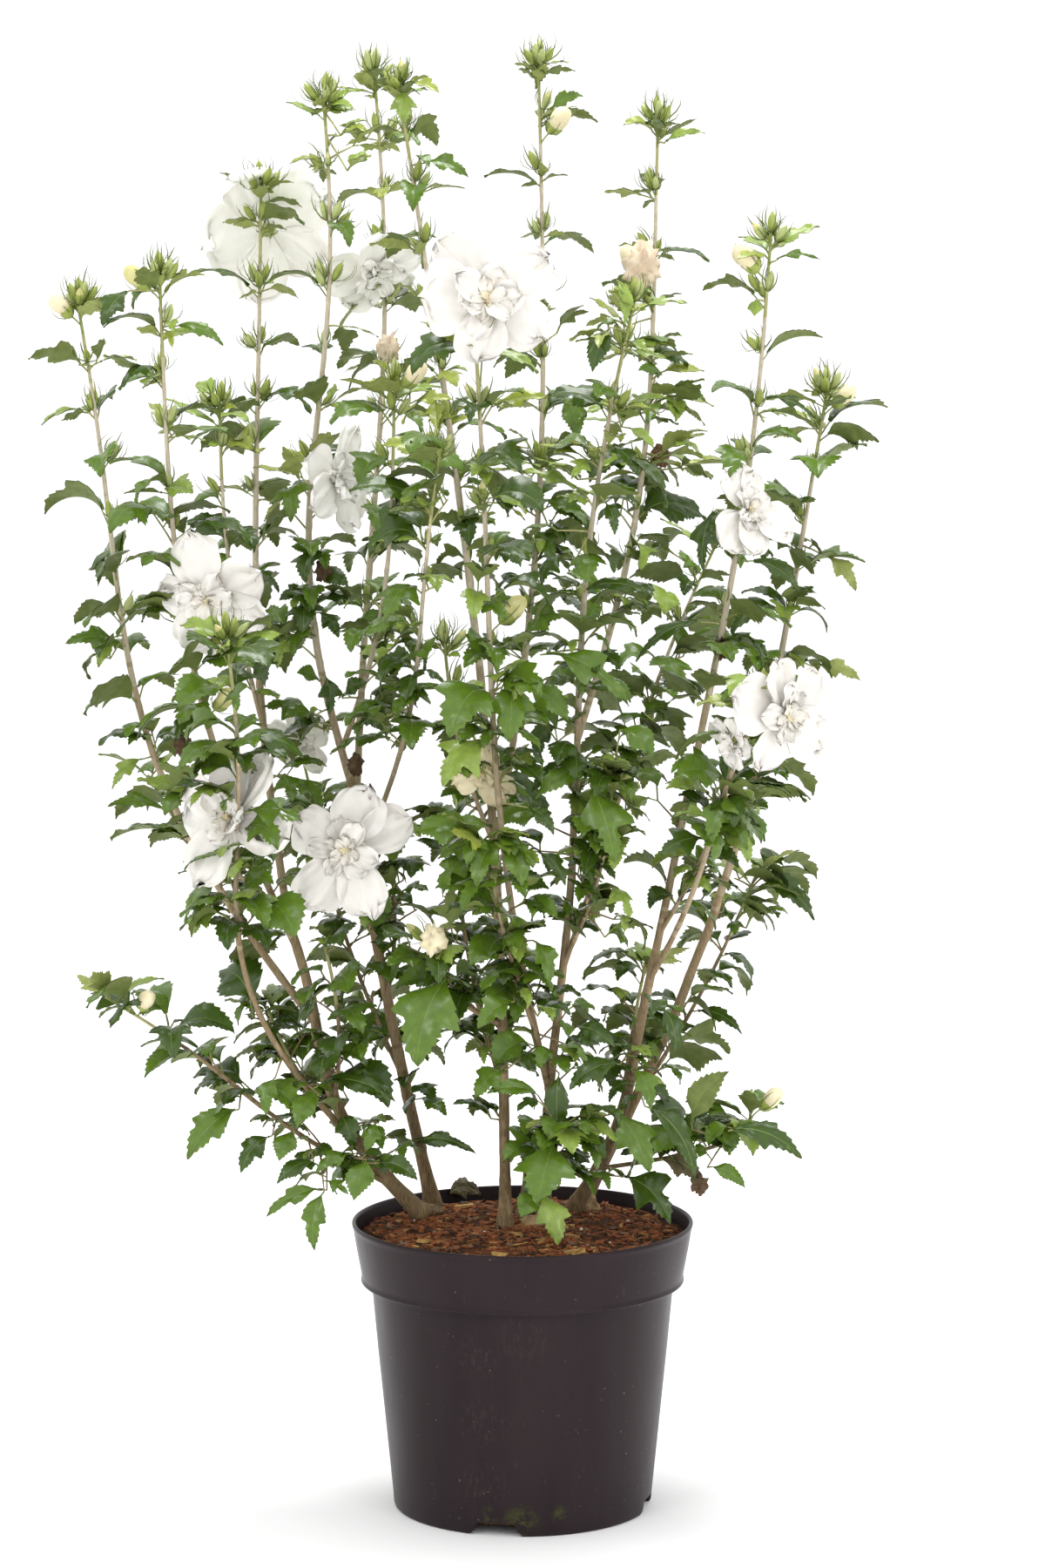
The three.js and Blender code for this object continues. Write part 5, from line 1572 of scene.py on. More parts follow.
def add_limb(heap, limb, draw):
    """The bare part of a limb, running a little way into what carries on from it."""
    end = min(limb.leafy + LIMB_FORM["overlap"] / limb.length, 1)
    count = max(LIMB_FORM["least_rows"], round(limb.length * end / STEM_STEP))
    shares = np.linspace(0, end, count)
    points = np.array([limb.at(share) for share in shares])
    radii = [limb.radius(share) * profile_at(SLIMNESS, limb.at(share)[2]) for share in shares]
    places = shares * limb.length / LIMB_FORM["wander_long"]
    wander = [noise_at(place, LIMB_FORM["wander_row"], limb.length) for place in places]
    points[:, 0] += LIMB_FORM["wander"] * np.array(wander) * np.sin(np.pi * shares)
    sides = LIMB_FORM["stem_sides" if limb.standing else "sides"]
    relief = bark_relief(points, sides, draw, scars_along(limb.length * end, draw))
    slots = np.array([heap.slot(bark_tone(point[2], draw)) for point in points])
    tube(heap, points, radii, sides, slots, relief)


STUB = {"length": 11, "back": 4, "slant": 0.5, "sides": 12}
# Sections of a stub: how far along it, its reach, and whether it slants (shares of its length and radius).
STUB_SECTIONS = ((0, 0.96, 0), (0.6, 1.02, 1), (1, 0.92, 1))


def add_stub(heap, limb):
    """Where a stem was pruned: a short slanting end of wood beside the bough that took over."""
    way = limb.way(limb.leafy)
    radius = limb.radius(limb.leafy)
    sides = STUB["sides"]
    turns = turns_round(sides)
    start = limb.at(limb.leafy) - way * STUB["back"]
    rings = []
    for share, reach, slanting in STUB_SECTIONS:
        slant = radius * STUB["slant"] * slanting * np.cos(turns)
        ring = ring_round(way, turns, radius * reach)
        rings.append(start + ring + np.outer(STUB["length"] * share + slant, way))
    rings.append(np.repeat([start + way * STUB["length"]], sides, axis=0))
    slots = [heap.slot("bark_brown")] * (2 * sides) + [heap.slot("cut_wood")] * sides
    heap.add(rings, grid_faces(len(rings), sides, closed=True)[:, ::-1], slots)


def shoot_tone(left, height, draw):
    """The bark of a shoot, from how far its tip still is."""
    left += SHOOT_FORM["scatter"] * (draw() - 0.5)
    if left < SOFT_END:
        return "shoot_green"
    return "bark_green" if left < GREEN_END else bark_tone(max(height, SHOOT_FORM["green_from"]), draw)


def add_shoot(heap, mass, draw):
    """A shoot from its foot to its tip, swollen at each node, green at the end; and its twigs."""
    start = max(mass.start - SHOOT_FORM["overlap"] / mass.length, 0)
    count = max(SHOOT_FORM["least_rows"], round(mass.length * (1 - start) / SHOOT_STEP))
    shares = np.linspace(start, 1, count)
    points = np.array([mass.curve.at(share) for share in shares])
    radii = [mass.curve.radius(share) for share in shares]
    knobs = [((share - start) * mass.length, turn) for share, turn, _ in mass.nodes]
    relief = bark_relief(points, SHOOT_FORM["sides"], draw, knobs)
    lefts = (1 - shares) * mass.length
    slots = [heap.slot(shoot_tone(left, point[2], draw)) for left, point in zip(lefts, points)]
    tube(heap, points, radii, SHOOT_FORM["sides"], slots, relief)
    for root, end in mass.twigs:
        bent = [root, (root + end) / 2 + UP * TWIG_FORM["bow"], end]
        tone = heap.slot("bark_green" if root[2] > TWIG_FORM["green_above"] else "bark_brown")
        tube(heap, bent, TWIG_FORM["radii"], TWIG_FORM["sides"], tone)


# ---------------------------------------------------------------- pot

POT = {
    "height": 288, "rim": 170, "collar_height": 61, "collar_foot": 160, "body_top": 151, "foot": 129,
    "wall": 2.6, "segments": 192,
}  # fmt: skip
NOTCH = {"turns": (-102, -12, 78, 168), "half_width": 25, "ramp": 6, "height": 13, "depth": 11}


def pot_profile():
    """(radius, height) from the middle of the underside out, up, over the rim, down inside to the filling."""
    foot, rim, top = POT["foot"], POT["rim"], POT["height"]
    body, ledge = POT["body_top"], POT["collar_foot"]
    collar = top - POT["collar_height"]
    return [
        (0.5, 7), (foot - 12, 7), (foot - 8, 5), (foot - 6.5, 0.6), (foot - 5.5, 0), (foot - 2.5, 0),
        (foot - 1, 0.8), (foot, 3), (foot + 0.8, 14), (foot + 1.6, 22), (foot + 5.5, 60), (foot + 10.5, 110),
        (foot + 15.6, 160), (body - 1, collar - 8), (body - 0.1, collar - 0.8), (body + 0.3, collar),
        (body + 1, collar + 0.3), (ledge - 1, collar + 0.3), (ledge + 0.2, collar + 0.6),
        (ledge + 1.1, collar + 1.5), (ledge + 1.3, collar + 2.5), (ledge + 1, collar + 3.7),
        (ledge + 0.5, collar + 4.8), (ledge + 0.6, collar + 8), (rim - 4, top - 24), (rim - 1.6, top - 9),
        (rim - 1, top - 5), (rim - 0.2, top - 4), (rim, top - 3), (rim, top - 1.4), (rim - 0.5, top - 0.5),
        (rim - 1.4, top), (rim - 2.8, top - 0.1), (rim - 3.6, top - 0.8), (rim - 4.2, top - 3),
        (rim - 5.4, top - 8), (rim - 7.4, top - 18), (ledge - POT["wall"], collar + 8),
        (body - POT["wall"], collar + 4),
    ]  # fmt: skip


def pot_piece():
    """The pot turned from its profile, with notches lifted out of the foot."""
    heap = Heap("pot")
    turns = turns_round(POT["segments"])
    notch_turns = np.radians(NOTCH["turns"])
    gap = np.min(np.abs(np.angle(np.exp(1j * (turns[:, None] - notch_turns)))), axis=1) * POT["foot"]
    notch = np.clip((NOTCH["half_width"] - gap) / NOTCH["ramp"], 0, 1) * NOTCH["height"]
    rings = []
    for radius, height in pot_profile():
        is_cut = height < NOTCH["height"] and radius > POT["foot"] - NOTCH["depth"]
        heights = np.maximum(height, notch if is_cut else 0)
        ring = np.broadcast_arrays(radius * np.cos(turns), radius * np.sin(turns), heights)
        rings.append(np.stack(ring, axis=1))
    heap.add(rings, grid_faces(len(rings), len(turns), closed=True), heap.slot("pot"))
    piece = heap.build("pot_shell")
    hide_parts("pot")


# ---------------------------------------------------------------- soil

SOIL_EDGE_RADIUS = 163
SOIL_RINGS = 46
SOIL_SIDES = 150
SOIL_MIDDLE_RADIUS = 0.5
# Radius and height of the rings under the top.
SOIL_BELOW = ((SOIL_EDGE_RADIUS - 12, 232), (POT["foot"] - 6, 10), (SOIL_MIDDLE_RADIUS, 10))
# Where the dome ends inside its shoulder, and how far the looks lie above the solid at its edge and all over.
SOIL_DOME = {"inset": 40, "edge": 1, "raised": 1.5}
# Layers of the mulch's unevenness (mm): height, grain and the place in the noise.
SOIL_NOISE = ((3.2, 26, 1), (2.2, 9, 5), (1.3, 3.5, 9))
CHIPS_SEED = 77
CHIPS = 2000
CHIP_SIZE = ((3.5, 15), (1.6, 4.6), (0.8, 2.4))
CHIP_LENGTH_EASE = 1.8
CHIP_SCATTER = 0.6
CHIP_MARGIN = 7
CHIP_PITCH = 0.5
PERLITE = 12
PERLITE_SIZE = (1.6, 3.4)
RAISED = {"chip": 0.4, "perlite": 0.6, "large_chip": 1.4}
CHIP_TONES = {"chip_red": 0.6, "chip_dark": 0.32, "chip_tan": 0.055, "chip_grey": 0.025}
SOIL_MATERIALS = (
    "soil", "chip_red", "chip_dark", "chip_tan", "chip_grey", "perlite", "fibre", "dead_wood", "bark_lump",
    "leaf_dried", "leaf_vein", "leaf_under",
)  # fmt: skip


def soil_height(x, y):
    """The height of the bark mulch: a low dome, lumpy."""
    radii = (SOIL["shoulder"] - SOIL_DOME["inset"], SOIL_EDGE_RADIUS)
    dome = float(np.interp(math.hypot(x, y), radii, (SOIL["top"], SOIL["edge"] + SOIL_DOME["edge"])))
    lumps = sum(height * noise_at(x / grain, y / grain, at) for height, grain, at in SOIL_NOISE)
    return dome + SOIL_DOME["raised"] + lumps


def soil_piece():
    """The mulch's top and, below it, the plain sides and underside of the filling."""
    heap = Heap(*SOIL_MATERIALS)
    points = []
    for ring in range(SOIL_RINGS):
        radius = SOIL_MIDDLE_RADIUS + (SOIL_EDGE_RADIUS - SOIL_MIDDLE_RADIUS) * ring / (SOIL_RINGS - 1)
        for turn in turns_round(SOIL_SIDES):
            x, y = radius * math.cos(turn), radius * math.sin(turn)
            points.append((x, y, soil_height(x, y)))
    for radius, height in SOIL_BELOW:
        for turn in turns_round(SOIL_SIDES):
            points.append((radius * math.cos(turn), radius * math.sin(turn), height))
    rows = SOIL_RINGS + len(SOIL_BELOW)
    heap.add(points, grid_faces(rows, SOIL_SIDES, closed=True), heap.slot("soil"))
    piece = heap.build("soil_mulch")
    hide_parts("soil")


CHIP_CORNERS = np.array([(x, y, z) for x in (-1, 1) for y in (-1, 1) for z in (-1, 1)], float)
CHIP_FACES = np.array([(0, 1, 3, 2), (4, 6, 7, 5), (0, 4, 5, 1), (2, 3, 7, 6), (0, 2, 6, 4), (1, 5, 7, 3)])
# Tan chips that stand out on the mulch: x, y and the size.
LARGE_CHIPS = (
    ((48, -112), (21, 11, 4)),
    ((102, -98), (24, 8, 3.5)),
    ((-22, -118), (13, 6, 3)),
    ((-96, -70), (15, 7, 3)),
    ((120, -30), (14, 6, 3)),
    ((-60, 96), (16, 7, 3)),
)


def rotation(angle, first, second):
    """A turn in the plane of two axes, for points as rows."""
    turned = np.eye(3)
    turned[first, first] = turned[second, second] = math.cos(angle)
    turned[first, second] = math.sin(angle)
    turned[second, first] = -math.sin(angle)
    return turned


def add_chip(heap, draw, size, tone, raised, place=None):
    """A splinter of bark lying on the mulch, its corners knocked out of square."""
    radius = (SOIL_EDGE_RADIUS - CHIP_MARGIN) * math.sqrt(draw())
    turn = 2 * math.pi * draw()
    x, y = place or (radius * math.cos(turn), radius * math.sin(turn))
    knocks = np.array([draw() for _ in range(CHIP_CORNERS.size)]).reshape(CHIP_CORNERS.shape) - 0.5
    corners = CHIP_CORNERS * size / 2 * (1 + CHIP_SCATTER * knocks)
    yaw = 2 * math.pi * draw()
    pitch = CHIP_PITCH * (draw() - 0.5)
    turned = corners @ rotation(pitch, 0, 2) @ rotation(yaw, 0, 1)
    heap.add(turned + (x, y, soil_height(x, y) + raised), CHIP_FACES, heap.slot(tone))


FIBRES = 420
# Fine dead roots: how far they keep from the edge, their form and how far they stand clear of the mulch.
FIBRE = {
    "sides": 3, "margin": 16, "edge": 6, "length": (12, 42), "radius": 0.32, "bow": 7, "clear": 1.2,
    "arch": 1.6,
}  # fmt: skip
FIBRE_SHARES = (0, 0.33, 0.67, 1)
RED_FIBRE_CHANCE = 0.6


def add_fibre(heap, draw):
    """A fine dead root lying on the mulch."""
    radius = (SOIL_EDGE_RADIUS - FIBRE["margin"]) * math.sqrt(draw())
    turn = 2 * math.pi * draw()
    yaw = 2 * math.pi * draw()
    length = lerp(FIBRE["length"], draw() ** 2)
    bow = FIBRE["bow"] * (draw() - 0.5)
    ahead = np.array([math.cos(yaw), math.sin(yaw)])
    aside = np.array([-ahead[1], ahead[0]])
    middle = radius * np.array([math.cos(turn), math.sin(turn)])
    points = []
    for share in FIBRE_SHARES:
        arch = math.sin(math.pi * share)
        place = middle + ahead * length * (share - 0.5) + aside * bow * arch
        place *= min(1, (SOIL_EDGE_RADIUS - FIBRE["edge"]) / max(np.linalg.norm(place), 1))
        points.append((*place, soil_height(*place) + FIBRE["clear"] + FIBRE["arch"] * arch * draw()))
    tone = "chip_red" if draw() < RED_FIBRE_CHANCE else "fibre"
    tube(heap, points, [FIBRE["radius"]] * len(points), FIBRE["sides"], heap.slot(tone))


# Lumps of dead wood at the stems' feet: the centre, the size in x, y and z, and the tone.
LUMPS = (
    ((15, 0, 284), (30, 22, 17), "dead_wood"),
    ((30, -6, 282), (18, 16, 12), "dead_wood"),
    ((64, 70, 286), (24, 20, 22), "dead_wood"),
    ((70, -14, 282), (30, 22, 18), "chip_dark"),
    ((-94, 58, 284), (26, 20, 16), "bark_lump"),
)
LUMP_FORM = {"rows": 14, "offset": 60, "grain": 1.6, "fine": 0.4, "girth": 1, "crumple": 0.5}
# A leaf that fell on the mulch.
FALLEN_LEAF = {
    "root": (-76, 142, 282), "turn": 0.3, "lift": 8, "length": 42, "age": "grown", "bend": (48, -62),
    "width": 26, "tint": "leaf_dried", "outline": OUTLINE_NAMES.index("lobed"),
}  # fmt: skip


def chips_piece():
    """What lies on the mulch: chips, fibres, knobs of wood half sunk in it, and a fallen leaf."""
    draw = seeded(CHIPS_SEED)
    heap = Heap(*SOIL_MATERIALS)
    for _ in range(CHIPS):
        long = lerp(CHIP_SIZE[0], draw() ** CHIP_LENGTH_EASE)
        size = np.array([long, lerp(CHIP_SIZE[1], draw()), lerp(CHIP_SIZE[2], draw())])
        add_chip(heap, draw, size, pick(CHIP_TONES, draw()), RAISED["chip"])
    for _ in range(PERLITE):
        add_chip(heap, draw, np.full(3, lerp(PERLITE_SIZE, draw())), "perlite", RAISED["perlite"])
    for corner, size in LARGE_CHIPS:
        add_chip(heap, draw, np.array(size), "chip_tan", RAISED["large_chip"], corner)
    for _ in range(FIBRES):
        add_fibre(heap, draw)
    for centre, size, tone in LUMPS:
        add_ball(heap, centre, np.array(size), tone, LUMP_FORM, draw)
    shape = LeafShape([FALLEN_LEAF], leaf_traits([FALLEN_LEAF], draw))
    add_blades(heap, shape, [FALLEN_LEAF["tint"]])
    piece = heap.build("mulch_chips", smooth=False)


# ---------------------------------------------------------------- materials

MATERIALS = {}
EVENLY = (1, 1, 1)


def feed(tree, socket, value):
    """Gives a socket a value, or links another node's output to it."""
    if isinstance(value, bpy.types.NodeSocket):
        tree.links.new(value, socket)
    else:
        socket.default_value = value


def add_node(tree, kind, output, inputs, **settings):
    """A new node with its settings and inputs. It gives back one of its outputs."""
    node = tree.nodes.new(kind)
    for name, value in settings.items():
        setattr(node, name, value)
    for name, value in inputs.items():
        feed(tree, node.inputs[name], value)
    return node.outputs[output]


def start_material(name, roughness, specular):
    material = bpy.data.materials.new(name)
    material.use_nodes = True
    shader = material.node_tree.nodes["Principled BSDF"]
    shader.inputs["Roughness"].default_value = roughness
    shader.inputs["Specular IOR Level"].default_value = specular
    MATERIALS[name] = material
    return material.node_tree, shader


def coordinates(tree, scale=EVENLY):
    """The object's own coordinates in metres, stretched by a scale along each axis."""
    source = add_node(tree, "ShaderNodeTexCoord", "Object", {})
    return add_node(tree, "ShaderNodeMapping", "Vector", {"Scale": scale, "Vector": source})


def noise_field(tree, vector, scale, detail, roughness=0.55):
    inputs = {"Vector": vector, "Scale": scale, "Detail": detail, "Roughness": roughness}
    return add_node(tree, "ShaderNodeTexNoise", "Fac", inputs)


def spread(tree, value, low, high, to_low=0.0, to_high=1.0):
    inputs = {"Value": value, "From Min": low, "From Max": high, "To Min": to_low, "To Max": to_high}
    return add_node(tree, "ShaderNodeMapRange", "Result", inputs)


def blend_colours(tree, share, dark, light):
    dark, light = ((*colour, 1) if isinstance(colour, tuple) else colour for colour in (dark, light))
    return add_node(tree, "ShaderNodeMix", 2, {"Factor": share, 6: dark, 7: light}, data_type="RGBA")


def multiply(tree, first, second):
    return add_node(tree, "ShaderNodeMath", "Value", {0: first, 1: second}, operation="MULTIPLY")


FULL_NEAR = 0.3  # as a share of a place's reach


def near_place(tree, vector, place, reach):
    """One at a place and none beyond its reach."""
    distance = add_node(tree, "ShaderNodeVectorMath", "Value", {0: vector, 1: place}, operation="DISTANCE")
    return spread(tree, distance, reach, FULL_NEAR * reach)


def add_bump(tree, shader, height, strength, distance):
    inputs = {"Strength": strength, "Distance": distance, "Height": height}
    feed(tree, shader.inputs["Normal"], add_node(tree, "ShaderNodeBump", "Normal", inputs))


def shade(colour, factor):
    return tuple(channel * factor for channel in colour)


LEAF_CONTRAST = 0.16
LEAF_BUMP = 0.16
GLOSS_RANGE = 0.07


def leaf_material(name, colour, roughness=0.26, specular=0.48):
    """A waxy blade: faint mottling in one tint, fine blistering and an uneven gloss."""
    tree, shader = start_material(name, roughness, specular)
    vector = coordinates(tree)
    mottle = noise_field(tree, vector, scale=130, detail=3)
    dark, light = shade(colour, 1 - LEAF_CONTRAST), shade(colour, 1 + LEAF_CONTRAST)
    feed(tree, shader.inputs["Base Color"], blend_colours(tree, spread(tree, mottle, 0.3, 0.7), dark, light))
    gloss = spread(tree, mottle, 0.3, 0.7, roughness + GLOSS_RANGE, roughness - GLOSS_RANGE)
    feed(tree, shader.inputs["Roughness"], gloss)
    add_bump(tree, shader, noise_field(tree, vector, scale=620, detail=2), LEAF_BUMP, distance=0.0006)


def petal_material(name, colour, shadow):
    """Thin silky petal, faintly veined."""
    tree, shader = start_material(name, roughness=0.65, specular=0.2)
    shader.inputs["Subsurface Weight"].default_value = 0.06
    shader.inputs["Subsurface Scale"].default_value = 1
    shader.inputs["Subsurface Radius"].default_value = (0.002, 0.002, 0.002)
    vector = coordinates(tree)
    mottle = spread(tree, noise_field(tree, vector, scale=90, detail=3), 0.3, 0.65)
    feed(tree, shader.inputs["Base Color"], blend_colours(tree, mottle, shadow, colour))
    veins = noise_field(tree, vector, scale=420, detail=4, roughness=0.65)
    add_bump(tree, shader, veins, strength=0.25, distance=0.0006)


BARK_FLECK = 1.25
BARK_GLOSS_RANGE = 0.1


def bark_material(name, colour, dark, roughness=0.8, fibre=0.6):
    """Bark: streaks along the stem, paler flecks and a fibrous relief."""
    tree, shader = start_material(name, roughness, specular=0.3)
    streaks = noise_field(tree, coordinates(tree, (1, 1, 0.12)), scale=700, detail=5, roughness=0.6)
    patches = noise_field(tree, coordinates(tree, (1, 1, 0.5)), scale=90, detail=3)
    base = blend_colours(tree, spread(tree, streaks, 0.32, 0.66), dark, colour)
    flecked = blend_colours(tree, spread(tree, patches, 0.56, 0.7), base, shade(colour, BARK_FLECK))
    feed(tree, shader.inputs["Base Color"], flecked)
    gloss = spread(tree, streaks, 0.3, 0.7, roughness + BARK_GLOSS_RANGE, roughness - BARK_GLOSS_RANGE)
    feed(tree, shader.inputs["Roughness"], gloss)
    add_bump(tree, shader, streaks, fibre, distance=0.0012)


def grain_material(name, colour, dark, scale=260, roughness=0.9, bump=0.6):
    """Rough matter such as bark chips and dead wood, and the floor."""
    tree, shader = start_material(name, roughness, specular=0.25)
    grain = noise_field(tree, coordinates(tree), scale, detail=5, roughness=0.65)
    feed(tree, shader.inputs["Base Color"], blend_colours(tree, spread(tree, grain, 0.3, 0.7), dark, colour))
    add_bump(tree, shader, grain, bump, distance=0.002)


MULCH = {"hollow": (0.045, 0.017, 0.008), "red": (0.26, 0.08, 0.029), "clod": (0.052, 0.024, 0.012)}
MULCH_MOSS = (0.07, 0.075, 0.018)


def soil_material():
    """Bark mulch: red-brown with dark hollows and a green bloom of moss here and there."""
    tree, shader = start_material("soil", roughness=0.95, specular=0.2)
    vector = coordinates(tree)
    grain = noise_field(tree, vector, scale=300, detail=6, roughness=0.7)
    clods = noise_field(tree, vector, scale=70, detail=3)
    moss = noise_field(tree, vector, scale=26, detail=4)
    red = blend_colours(tree, spread(tree, grain, 0.35, 0.65), MULCH["hollow"], MULCH["red"])
    mixed = blend_colours(tree, spread(tree, clods, 0.42, 0.58), red, MULCH["clod"])
    mossy = blend_colours(tree, spread(tree, moss, 0.62, 0.72), mixed, MULCH_MOSS)
    feed(tree, shader.inputs["Base Color"], mossy)
    add_bump(tree, shader, grain, strength=0.9, distance=0.004)


# Places on the pot (m) and how far round them the plastic is rubbed or mossy.
RUBBED_PLACES = (
    ((-0.046, -0.139, 0.18), 0.03),
    ((-0.042, -0.134, 0.115), 0.034),
    ((-0.04, -0.129, 0.05), 0.03),
    ((0.0, -0.149, 0.2), 0.035),
    ((0.1, 0.1, 0.12), 0.05),
    ((-0.14, 0.03, 0.09), 0.04),
)
MOSSY_PLACES = (
    ((-0.034, -0.126, 0.02), 0.014),
    ((-0.002, -0.13, 0.014), 0.022),
    ((0.036, -0.125, 0.022), 0.011),
    ((-0.09, 0.09, 0.012), 0.03),
    ((0.11, 0.06, 0.01), 0.022),
)
PLASTIC = {"tint": (1, 0.9, 0.91, 1), "dark": (0.0156, 0.0096, 0.0113), "light": (0.0218, 0.0143, 0.0163)}
RUBBED = (0.075, 0.065, 0.055)
SCUFFED = (0.055, 0.046, 0.046)
DUST = (0.2, 0.17, 0.1)
POT_MOSS = (0.05, 0.056, 0.012)


def pot_material():
    """Dark moulded plastic: satin, faint flow marks, dust specks, rubbed patches, and moss near the foot."""
    tree, shader = start_material("pot", roughness=0.36, specular=0.16)
    shader.inputs["Specular Tint"].default_value = PLASTIC["tint"]
    vector = coordinates(tree)
    flow = noise_field(tree, coordinates(tree, (1, 1, 0.22)), scale=24, detail=4)
    colour = blend_colours(tree, spread(tree, flow, 0.3, 0.7), PLASTIC["dark"], PLASTIC["light"])
    fine = noise_field(tree, coordinates(tree, (2.4, 2.4, 0.8)), scale=130, detail=6, roughness=0.8)
    scratches = spread(tree, fine, 0.52, 0.68)
    for place, reach in RUBBED_PLACES:
        share = multiply(tree, near_place(tree, vector, place, reach), scratches)
        colour = blend_colours(tree, spread(tree, share, 0, 1, to_high=0.42), colour, RUBBED)
    scuffs = noise_field(tree, coordinates(tree, (1.6, 1.6, 0.6)), scale=60, detail=6, roughness=0.7)
    colour = blend_colours(tree, spread(tree, scuffs, 0.62, 0.76, to_high=0.35), colour, SCUFFED)
    specks = noise_field(tree, vector, scale=230, detail=2)
    colour = blend_colours(tree, spread(tree, specks, 0.72, 0.78, to_high=0.7), colour, DUST)
    film = spread(tree, noise_field(tree, vector, scale=75, detail=5, roughness=0.7), 0.46, 0.6)
    for place, reach in MOSSY_PLACES:
        share = multiply(tree, near_place(tree, vector, place, reach), film)
        colour = blend_colours(tree, spread(tree, share, 0, 1, to_high=0.85), colour, POT_MOSS)
    feed(tree, shader.inputs["Base Color"], colour)
    feed(tree, shader.inputs["Roughness"], spread(tree, flow, 0.3, 0.7, 0.33, 0.45))
    add_bump(tree, shader, scuffs, strength=0.1, distance=0.0008)


def make_materials():
    leaf_material("leaf_dark", (0.042, 0.084, 0.006))
    leaf_material("leaf_mid", (0.092, 0.168, 0.012))
    # partly painted sheen: lightened beyond the leaf's own green to stand in for the gloss on the upper faces
    leaf_material("leaf_light", (0.23, 0.325, 0.052))
    leaf_material("leaf_young", (0.28, 0.335, 0.052))
    leaf_material("leaf_faded", (0.36, 0.36, 0.09))
    leaf_material("leaf_dried", (0.08, 0.06, 0.022), roughness=0.6)
    leaf_material("leaf_vein", (0.17, 0.24, 0.065), roughness=0.5)
    leaf_material("leaf_under", (0.15, 0.19, 0.05), roughness=0.62, specular=0.25)
    leaf_material("leaf_under_young", (0.3, 0.34, 0.1), roughness=0.6, specular=0.25)
    leaf_material("petiole", (0.21, 0.245, 0.055), roughness=0.5)
    leaf_material("bud", (0.32, 0.38, 0.09), roughness=0.55, specular=0.3)
    leaf_material("bud_pale", (0.44, 0.49, 0.2), roughness=0.55, specular=0.3)
    leaf_material("bractlet", (0.155, 0.2, 0.052), roughness=0.55, specular=0.25)
    leaf_material("bud_stalk", (0.27, 0.33, 0.09), roughness=0.55, specular=0.3)
    petal_material("petal", (0.83, 0.808, 0.77), (0.8, 0.766, 0.71))
    # painted light: a brighter petal white for the blooms in the crown's shade, making up for that shade
    petal_material("petal_pale", (0.98, 0.96, 0.92), (0.95, 0.925, 0.875))
    petal_material("petal_inner", (0.83, 0.796, 0.73), (0.79, 0.745, 0.66))
    petal_material("petal_cream", (0.86, 0.78, 0.55), (0.8, 0.7, 0.45))
    petal_material("petal_yellow", (0.72, 0.68, 0.34), (0.56, 0.53, 0.2))
    petal_material("petal_wilted", (0.78, 0.66, 0.5), (0.6, 0.45, 0.3))
    bark_material("bark_old", (0.27, 0.19, 0.098), (0.13, 0.09, 0.045), roughness=0.8, fibre=0.4)
    bark_material("bark_brown", (0.34, 0.248, 0.143), (0.2, 0.144, 0.08), roughness=0.8, fibre=0.4)
    bark_material("bark_tan", (0.45, 0.36, 0.24), (0.31, 0.24, 0.15), roughness=0.8, fibre=0.3)
    bark_material("bark_beige", (0.58, 0.51, 0.385), (0.44, 0.38, 0.27), roughness=0.7, fibre=0.25)
    bark_material("bark_green", (0.44, 0.43, 0.2), (0.31, 0.295, 0.12), roughness=0.6, fibre=0.2)
    bark_material("shoot_green", (0.29, 0.34, 0.1), (0.22, 0.26, 0.07), roughness=0.55, fibre=0.2)
    bark_material("cut_wood", (0.6, 0.46, 0.28), (0.4, 0.29, 0.16))
    grain_material("withered", (0.34, 0.2, 0.11), (0.14, 0.08, 0.045))
    grain_material("withered_dark", (0.16, 0.1, 0.055), (0.06, 0.035, 0.02))
    grain_material("chip_red", (0.38, 0.13, 0.045), (0.155, 0.047, 0.016))
    grain_material("chip_dark", (0.115, 0.052, 0.026), (0.032, 0.016, 0.009))
    grain_material("chip_tan", (0.56, 0.36, 0.12), (0.34, 0.18, 0.058))
    grain_material("chip_grey", (0.3, 0.225, 0.15), (0.14, 0.1, 0.07))
    grain_material("perlite", (0.8, 0.78, 0.72), (0.62, 0.6, 0.54))
    grain_material("fibre", (0.38, 0.22, 0.095), (0.2, 0.095, 0.038))
    grain_material("dead_wood", (0.52, 0.38, 0.21), (0.25, 0.165, 0.082), scale=120)
    grain_material("bark_lump", (0.3, 0.21, 0.11), (0.125, 0.088, 0.044), scale=160)
    soil_material()
    pot_material()
    grain_material("floor", (1, 1, 1), (0.985, 0.985, 0.985), scale=3, roughness=1.0, bump=0)


# ---------------------------------------------------------------- the plant

LEAF_PIECES = {
    "leaves_far_left": ("far_left", "front_left", "low_left"),
    "leaves_left": ("left_", "inner_left"),
    "leaves_mid_left": ("tall_left", "back_left", "slim_", "centre_"),
    "leaves_middle": ("inner_right", "front_bough", "front_tuft", "low_front", "rear_right", "tall_right"),
    "leaves_right": ("right_", "back_right", "back_bough", "front_right", "low_right"),
}


def grow_plant():
    limbs = lay_out_limbs()
    masses = lay_out_masses(limbs)
    space = Space(masses, limbs, BLOOMS)
    for index, mass in enumerate(masses):
        grow_mass(mass, space, FIRST_SEED + index)
    hang_leaves(limbs, masses)
    fill_places(limbs, masses)
    for index, mass in enumerate(masses):
        grow_finer(mass, space, FINE_SEED + index)
    return limbs, masses


BARK_SEED = 11
LEAVES_SEED = 300
BLOSSOM_SEED = 23


def bark_pieces(limbs, masses):
    draw = seeded(BARK_SEED)
    heap = Heap(*BARK_MATERIALS)
    for limb in limbs.values():
        add_limb(heap, limb, draw)
        if limb.leafy == 1:  # bare to its end
            add_stub(heap, limb)
    stems = heap.build("stems")
    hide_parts(*limbs)
    heap = Heap(*SHOOT_MATERIALS)
    for mass in masses:
        add_shoot(heap, mass, draw)
    shoots = heap.build("shoots")


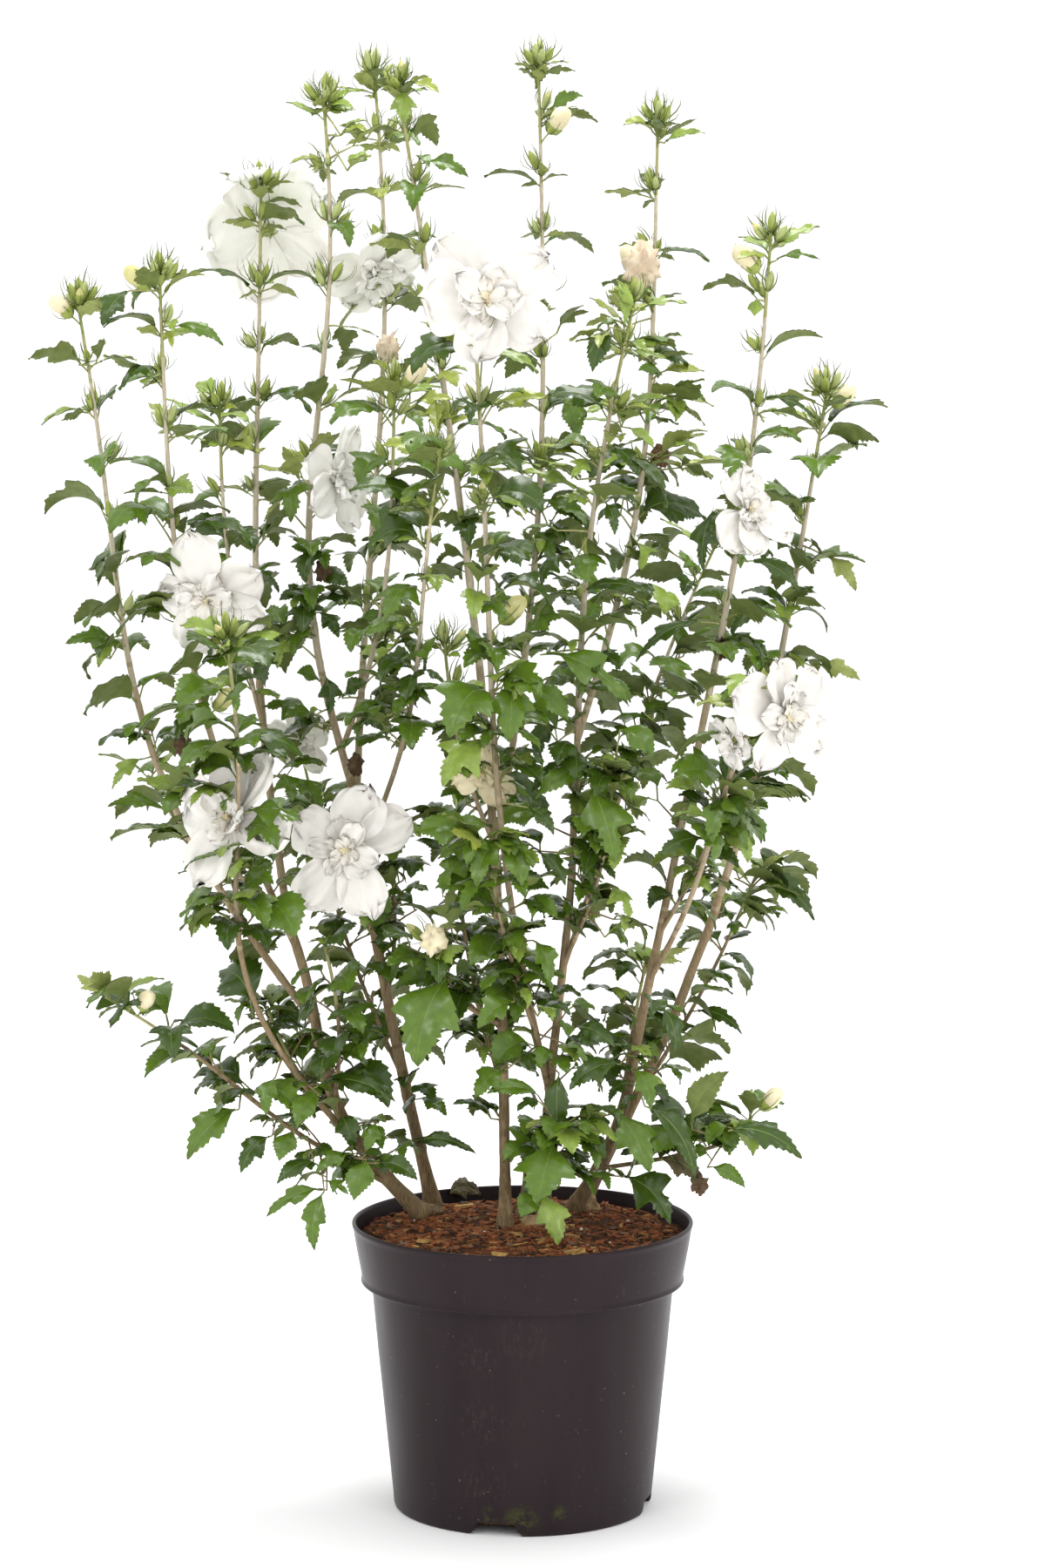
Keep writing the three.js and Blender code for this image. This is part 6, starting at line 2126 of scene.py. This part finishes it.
def blossom_pieces(masses):
    draw = seeded(BLOSSOM_SEED)
    heap = Heap(*BUD_MATERIALS)
    for mass in masses:
        for bud in mass.buds:
            add_bud_mesh(heap, bud, draw)
    for centre, size, tone in WITHERED:
        add_ball(heap, centre, size * WITHERED_SHAPE, tone, WITHERED_FORM, draw)
    piece = heap.build("buds")
    heap = Heap(*BLOOM_MATERIALS)
    by_name = {mass.name: mass for mass in masses}
    for bloom in BLOOMS:
        name, share = bloom[:2]
        add_bloom_mesh(heap, bloom, by_name[name].root_at(share), draw)
    piece = heap.build("blooms")


def group_of(mass):
    for group, starts in LEAF_PIECES.items():
        if mass.name.startswith(starts):
            return group
    raise ValueError(mass.name)


# ---------------------------------------------------------------- stage

CAMERA = {"place": (0, -4.355, 1.226), "pitch": 6.56, "view": 20, "sensor": 24}


def add_camera():
    data = bpy.data.cameras.new("camera")
    data.sensor_fit = "VERTICAL"
    data.sensor_height = CAMERA["sensor"]
    data.lens = data.sensor_height / 2 / math.tan(math.radians(CAMERA["view"] / 2))
    camera = bpy.data.objects.new("camera", data)
    camera.location = CAMERA["place"]
    camera.rotation_euler = (math.radians(90 - CAMERA["pitch"]), 0, 0)
    bpy.context.scene.collection.objects.link(camera)
    bpy.context.scene.camera = camera


# Lights: the place (m), the diameter (m) and the power (W).
LIGHTS = {
    "key": ((-2.0, -3.0, 3.2), 1.3, 20),
    "fill": ((2.4, -3.2, 1.9), 1.6, 20),
    "top": ((0.2, 0.4, 3.8), 1.8, 74),
}
LIGHT_AIM = Vector((0, 0, 0.8))
STUDIO_STRENGTH = 1.15
FLOOR_REACH = 14


def add_light(name, place, size, power):
    data = bpy.data.lights.new(name, "AREA")
    data.shape = "DISK"
    data.size = size
    data.energy = power
    light = bpy.data.objects.new(name, data)
    light.location = place
    light.rotation_euler = (LIGHT_AIM - Vector(place)).to_track_quat("-Z", "Y").to_euler()
    bpy.context.scene.collection.objects.link(light)


def add_floor():
    corners = [(x * FLOOR_REACH, y * FLOOR_REACH, 0) for x, y in ((-1, -1), (1, -1), (1, 1), (-1, 1))]
    mesh = bpy.data.meshes.new("floor")
    mesh.from_pydata(corners, [], [(0, 1, 2, 3)])
    mesh.materials.append(MATERIALS["floor"])
    floor = bpy.data.objects.new("floor", mesh)
    bpy.context.scene.collection.objects.link(floor)


def add_studio():
    """A white studio on all sides, with its lights."""
    world = bpy.data.worlds.new("studio")
    world.use_nodes = True
    background = world.node_tree.nodes["Background"]
    background.inputs["Color"].default_value = (1, 1, 1, 1)
    background.inputs["Strength"].default_value = STUDIO_STRENGTH
    bpy.context.scene.world = world
    bpy.context.scene.view_settings.view_transform = "Standard"
    for name, (place, size, power) in LIGHTS.items():
        add_light(name, place, size, power)


make_materials()
add_floor()
add_studio()
add_camera()
limbs, masses = grow_plant()
bark_pieces(limbs, masses)
for group in LEAF_PIECES:
    leaves_piece(group, [mass for mass in masses if group_of(mass) == group], LEAVES_SEED + len(group))
blossom_pieces(masses)
pot_piece()
soil_piece()
chips_piece()
